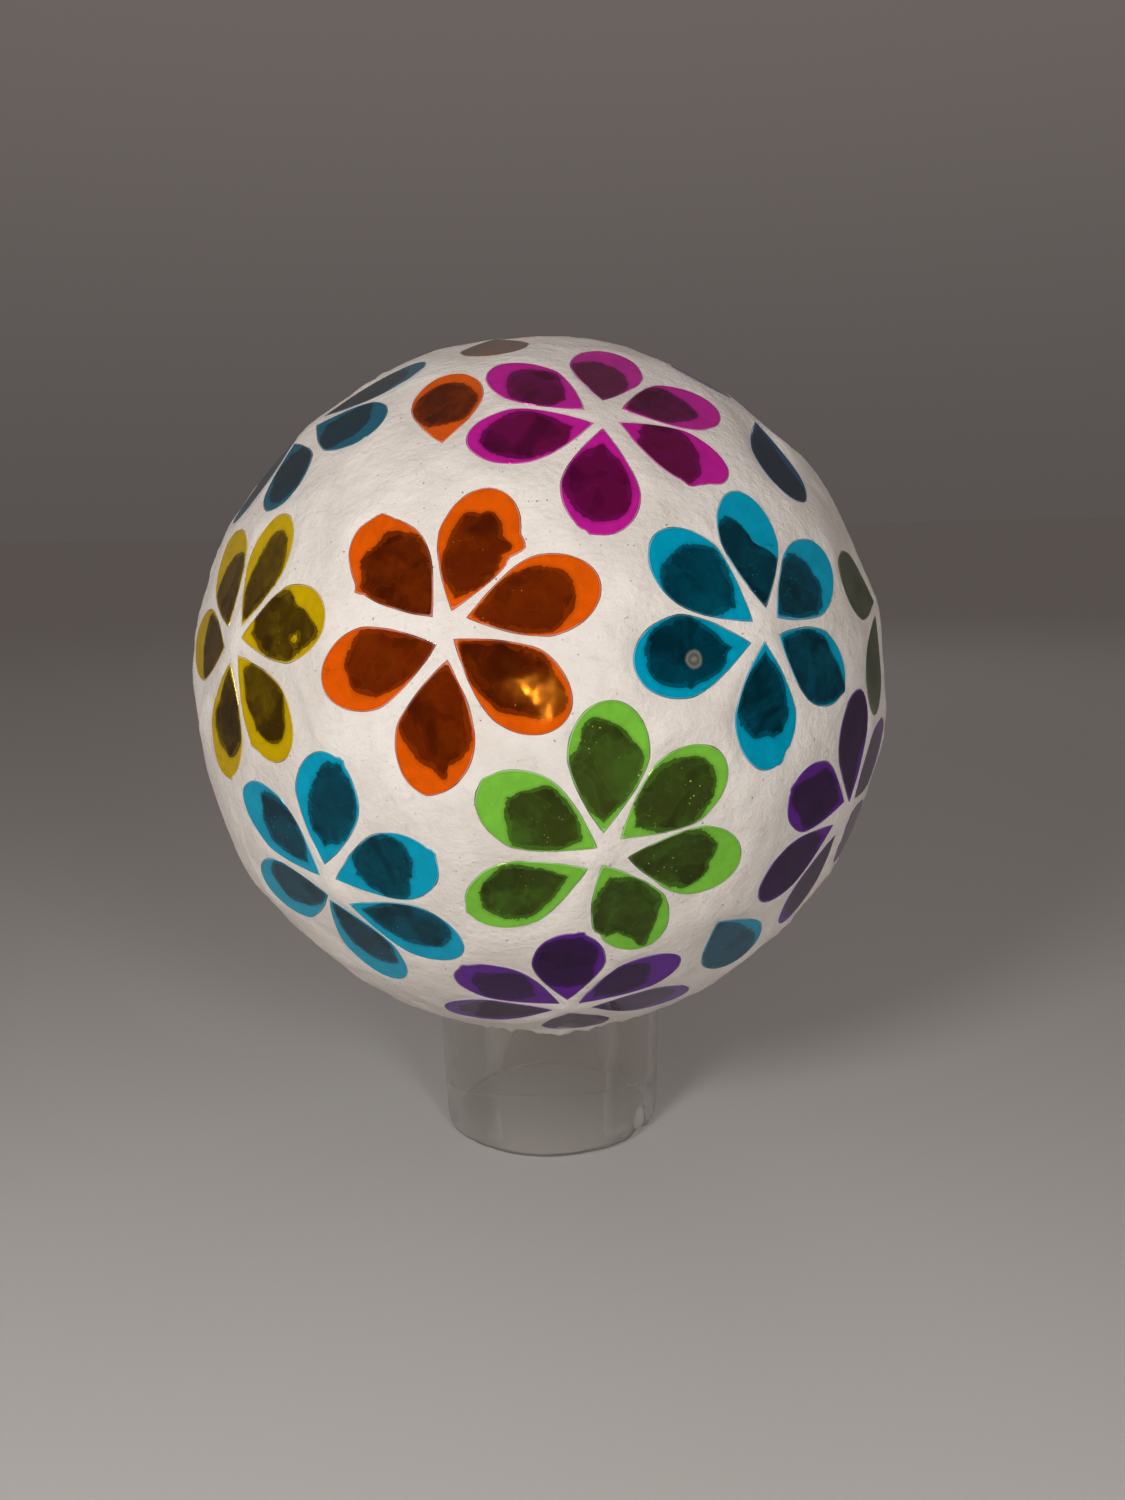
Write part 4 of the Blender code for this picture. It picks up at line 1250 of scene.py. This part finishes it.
def cracked(radius, height, turn):
    """A point of the wall moved by the rim's unevenness, and how frosted it is by the chip."""
    x, y = math.cos(turn), math.sin(turn)
    low = max(0.0, 1 - height / UNEVEN)
    rise = 0.55 * (1 + noise.noise(Vector((x * 1.6, y * 1.6, 2.3))))
    chip = bump_at(turn, CHIP_AT, 0.10) * 1.5 + bump_at(turn, CHIP_AT + 0.24, 0.05) * 0.7
    wave = 0.25 * noise.noise(Vector((x * 9, y * 9, 5)))
    up = (rise * 0.5 + chip + max(0.0, wave)) * low ** 2 * MM
    frost = max(0.0, 1 - ((turn - CHIP_AT) / CHIP_HALF) ** 2 - ((height - CHIP_UP) / CHIP_UP) ** 2)
    if radius < NECK_RIM - 0.4 * MM:
        frost = 0.0
    out = 0.12 * noise.noise(Vector((x * 2, y * 2, height * 60))) * MM - CHIP_DEEP * frost
    return radius + (out if height < FILLET_UP else 0.0), height + up, min(1.0, frost * 3)


outline = wall_outline()
verts = [(0, 0, outline[0][1])]
frosted = [0.0]
for radius, height in outline[1:-1]:
    for k in range(TURNS):
        turn = 2 * math.pi * k / TURNS
        r, z, frost = cracked(radius, height, turn if turn < math.pi else turn - 2 * math.pi)
        frosted.append(frost)
        verts.append((r * math.cos(turn), r * math.sin(turn), z))
verts.append((0, 0, outline[-1][1]))
rows = len(outline) - 2
faces = []
for k in range(TURNS):
    j = (k + 1) % TURNS
    faces.append((0, 1 + k, 1 + j))
    for row in range(rows - 1):
        a, b = 1 + row * TURNS, 1 + (row + 1) * TURNS
        faces.append((a + k, b + k, b + j, a + j))
    last = 1 + (rows - 1) * TURNS
    faces.append((last + k, len(verts) - 1, last + j))
mesh = bpy.data.meshes.new("glass_globe_blown")
mesh.from_pydata(verts, [], faces)
carrier = mesh.attributes.new("frost", "FLOAT", "POINT")
carrier.data.foreach_set("value", frosted + [0.0])
bm = bmesh.new()
bm.from_mesh(mesh)
print("globe:", round(bm.calc_volume(signed=True) * 1e6, 1), "cm3 of glass, lowest",
      round(min(v.co.z for v in bm.verts) / MM, 2), "mm")
bm.free()
mesh.shade_smooth()
mesh.set_sharp_from_angle(angle=math.radians(40))
globe = add("glass_globe_blown", mesh)
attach(globe, "root")
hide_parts("glass_globe")

# %% [markdown]
# ## Clear glass
#
# Clear glass is a plain shader that lets light through and bends it. Its numbers stand on the
# shader's own sockets. An alpha below one lets some light pass straight, which softens the dark
# lines at the rim. A faint bump gives the streaks of blown glass, and the chip in the rim is
# frosted white.

# %% Finish of the globe
f = Finish("clear blown glass")
frost = (f.attribute("frost") + f.grain(900, 2, 0.6) * 0.5 - 0.35).step(0.1, 0.3)
f.set(Base_Color=f.mix(frost, (1.0, 0.965, 0.915, 1), (0.96, 0.95, 0.93, 1)), Metallic=frost * 0.9,
      Roughness=frost * 0.5 + 0.015, IOR=1.46, Transmission_Weight=1.0, Alpha=0.62,
      Normal=f.bump(f.grain(55, 2, 0.4), 0.0004, 0.25))
globe.data.materials.append(f.material)
print("glass finished")

# %% [markdown]
# ## Floor, light and camera
#
# A plain pale floor and soft studio light show the ball as it is. One round light stands in front
# and to the left, a weaker one to the right, both where no petal in view mirrors them to the
# camera. One above and behind picks out the rim. Two tiny golden lamps beside the camera are
# mirrored in one orange petal.

# %% The floor
mesh = bpy.data.meshes.new("floor")
mesh.from_pydata([(x * 40, y * 40, 0) for x, y in ((-1, -1), (1, -1), (1, 1), (-1, 1))], [],
                 [(0, 1, 2, 3)])
floor = add("floor", mesh)
f = Finish("pale floor")
f.set(Base_Color=(0.60, 0.585, 0.57, 1), Roughness=0.62)
floor.data.materials.append(f.material)

# %% Light
world = bpy.data.worlds.new("studio")
world.use_nodes = True
sky = Sums(world.node_tree)
ways = sky.node("ShaderNodeTexCoord", output="Generated")
height = sky.node("ShaderNodeSeparateXYZ", None, {0: ways}, "Z")
background = sky.mix(height.step(-0.02, 0.45), screen(88, 82, 80), screen(108, 101, 98))
sky.put(world.node_tree.nodes["Background"].inputs["Color"], background)
bpy.context.scene.world = world
bpy.context.scene.view_settings.view_transform = "Standard"


def lamp(name, place, size, watts, colour=(1, 1, 1)):
    """A round soft light that shines at the ball's middle."""
    light = bpy.data.lights.new(name, "AREA")
    light.shape = "DISK"
    light.size = size
    light.energy = watts
    light.color = colour
    stand = add(name, light)
    stand.location = place
    stand.rotation_euler = (CENTRE - Vector(place)).to_track_quat("-Z", "Y").to_euler()


lamp("key", (-0.20, -0.36, 0.25), 0.11, 0.85, (1.0, 0.98, 0.96))
lamp("second", (0.155, -0.43, 0.20), 0.11, 0.58, (1.0, 0.98, 0.97))
lamp("back", (0.25, 0.95, 0.85), 0.5, 0.6)
lamp("glint", (-0.0397, -0.3193, 0.1545), 0.004, 0.016, (1.0, 0.7, 0.3))
lamp("small glint", (-0.0331, -0.3205, 0.1515), 0.002, 0.004, (1.0, 0.7, 0.3))

# %% Camera, at the photograph's angle
EYE = (0, -0.2784, 0.1407)
DOWN, TO_RIGHT, ROLL = math.radians(10.46), math.radians(0.94), math.radians(-1.34)
camera = bpy.data.cameras.new("camera")
camera.lens = 29.14
camera.sensor_width = camera.sensor_height = 36
camera.sensor_fit = "VERTICAL"
camera.clip_start = 0.01
view = add("camera", camera)
level = Vector((math.cos(TO_RIGHT), -math.sin(TO_RIGHT), 0))
ahead = Vector((math.sin(TO_RIGHT) * math.cos(DOWN), math.cos(TO_RIGHT) * math.cos(DOWN),
                -math.sin(DOWN)))
upward = level.cross(ahead)
right = math.cos(ROLL) * level + math.sin(ROLL) * upward
upward = math.cos(ROLL) * upward - math.sin(ROLL) * level
turned = Matrix((right, upward, -ahead)).transposed()
view.matrix_world = Matrix.Translation(EYE) @ turned.to_4x4()
bpy.context.scene.camera = view
print("camera set")
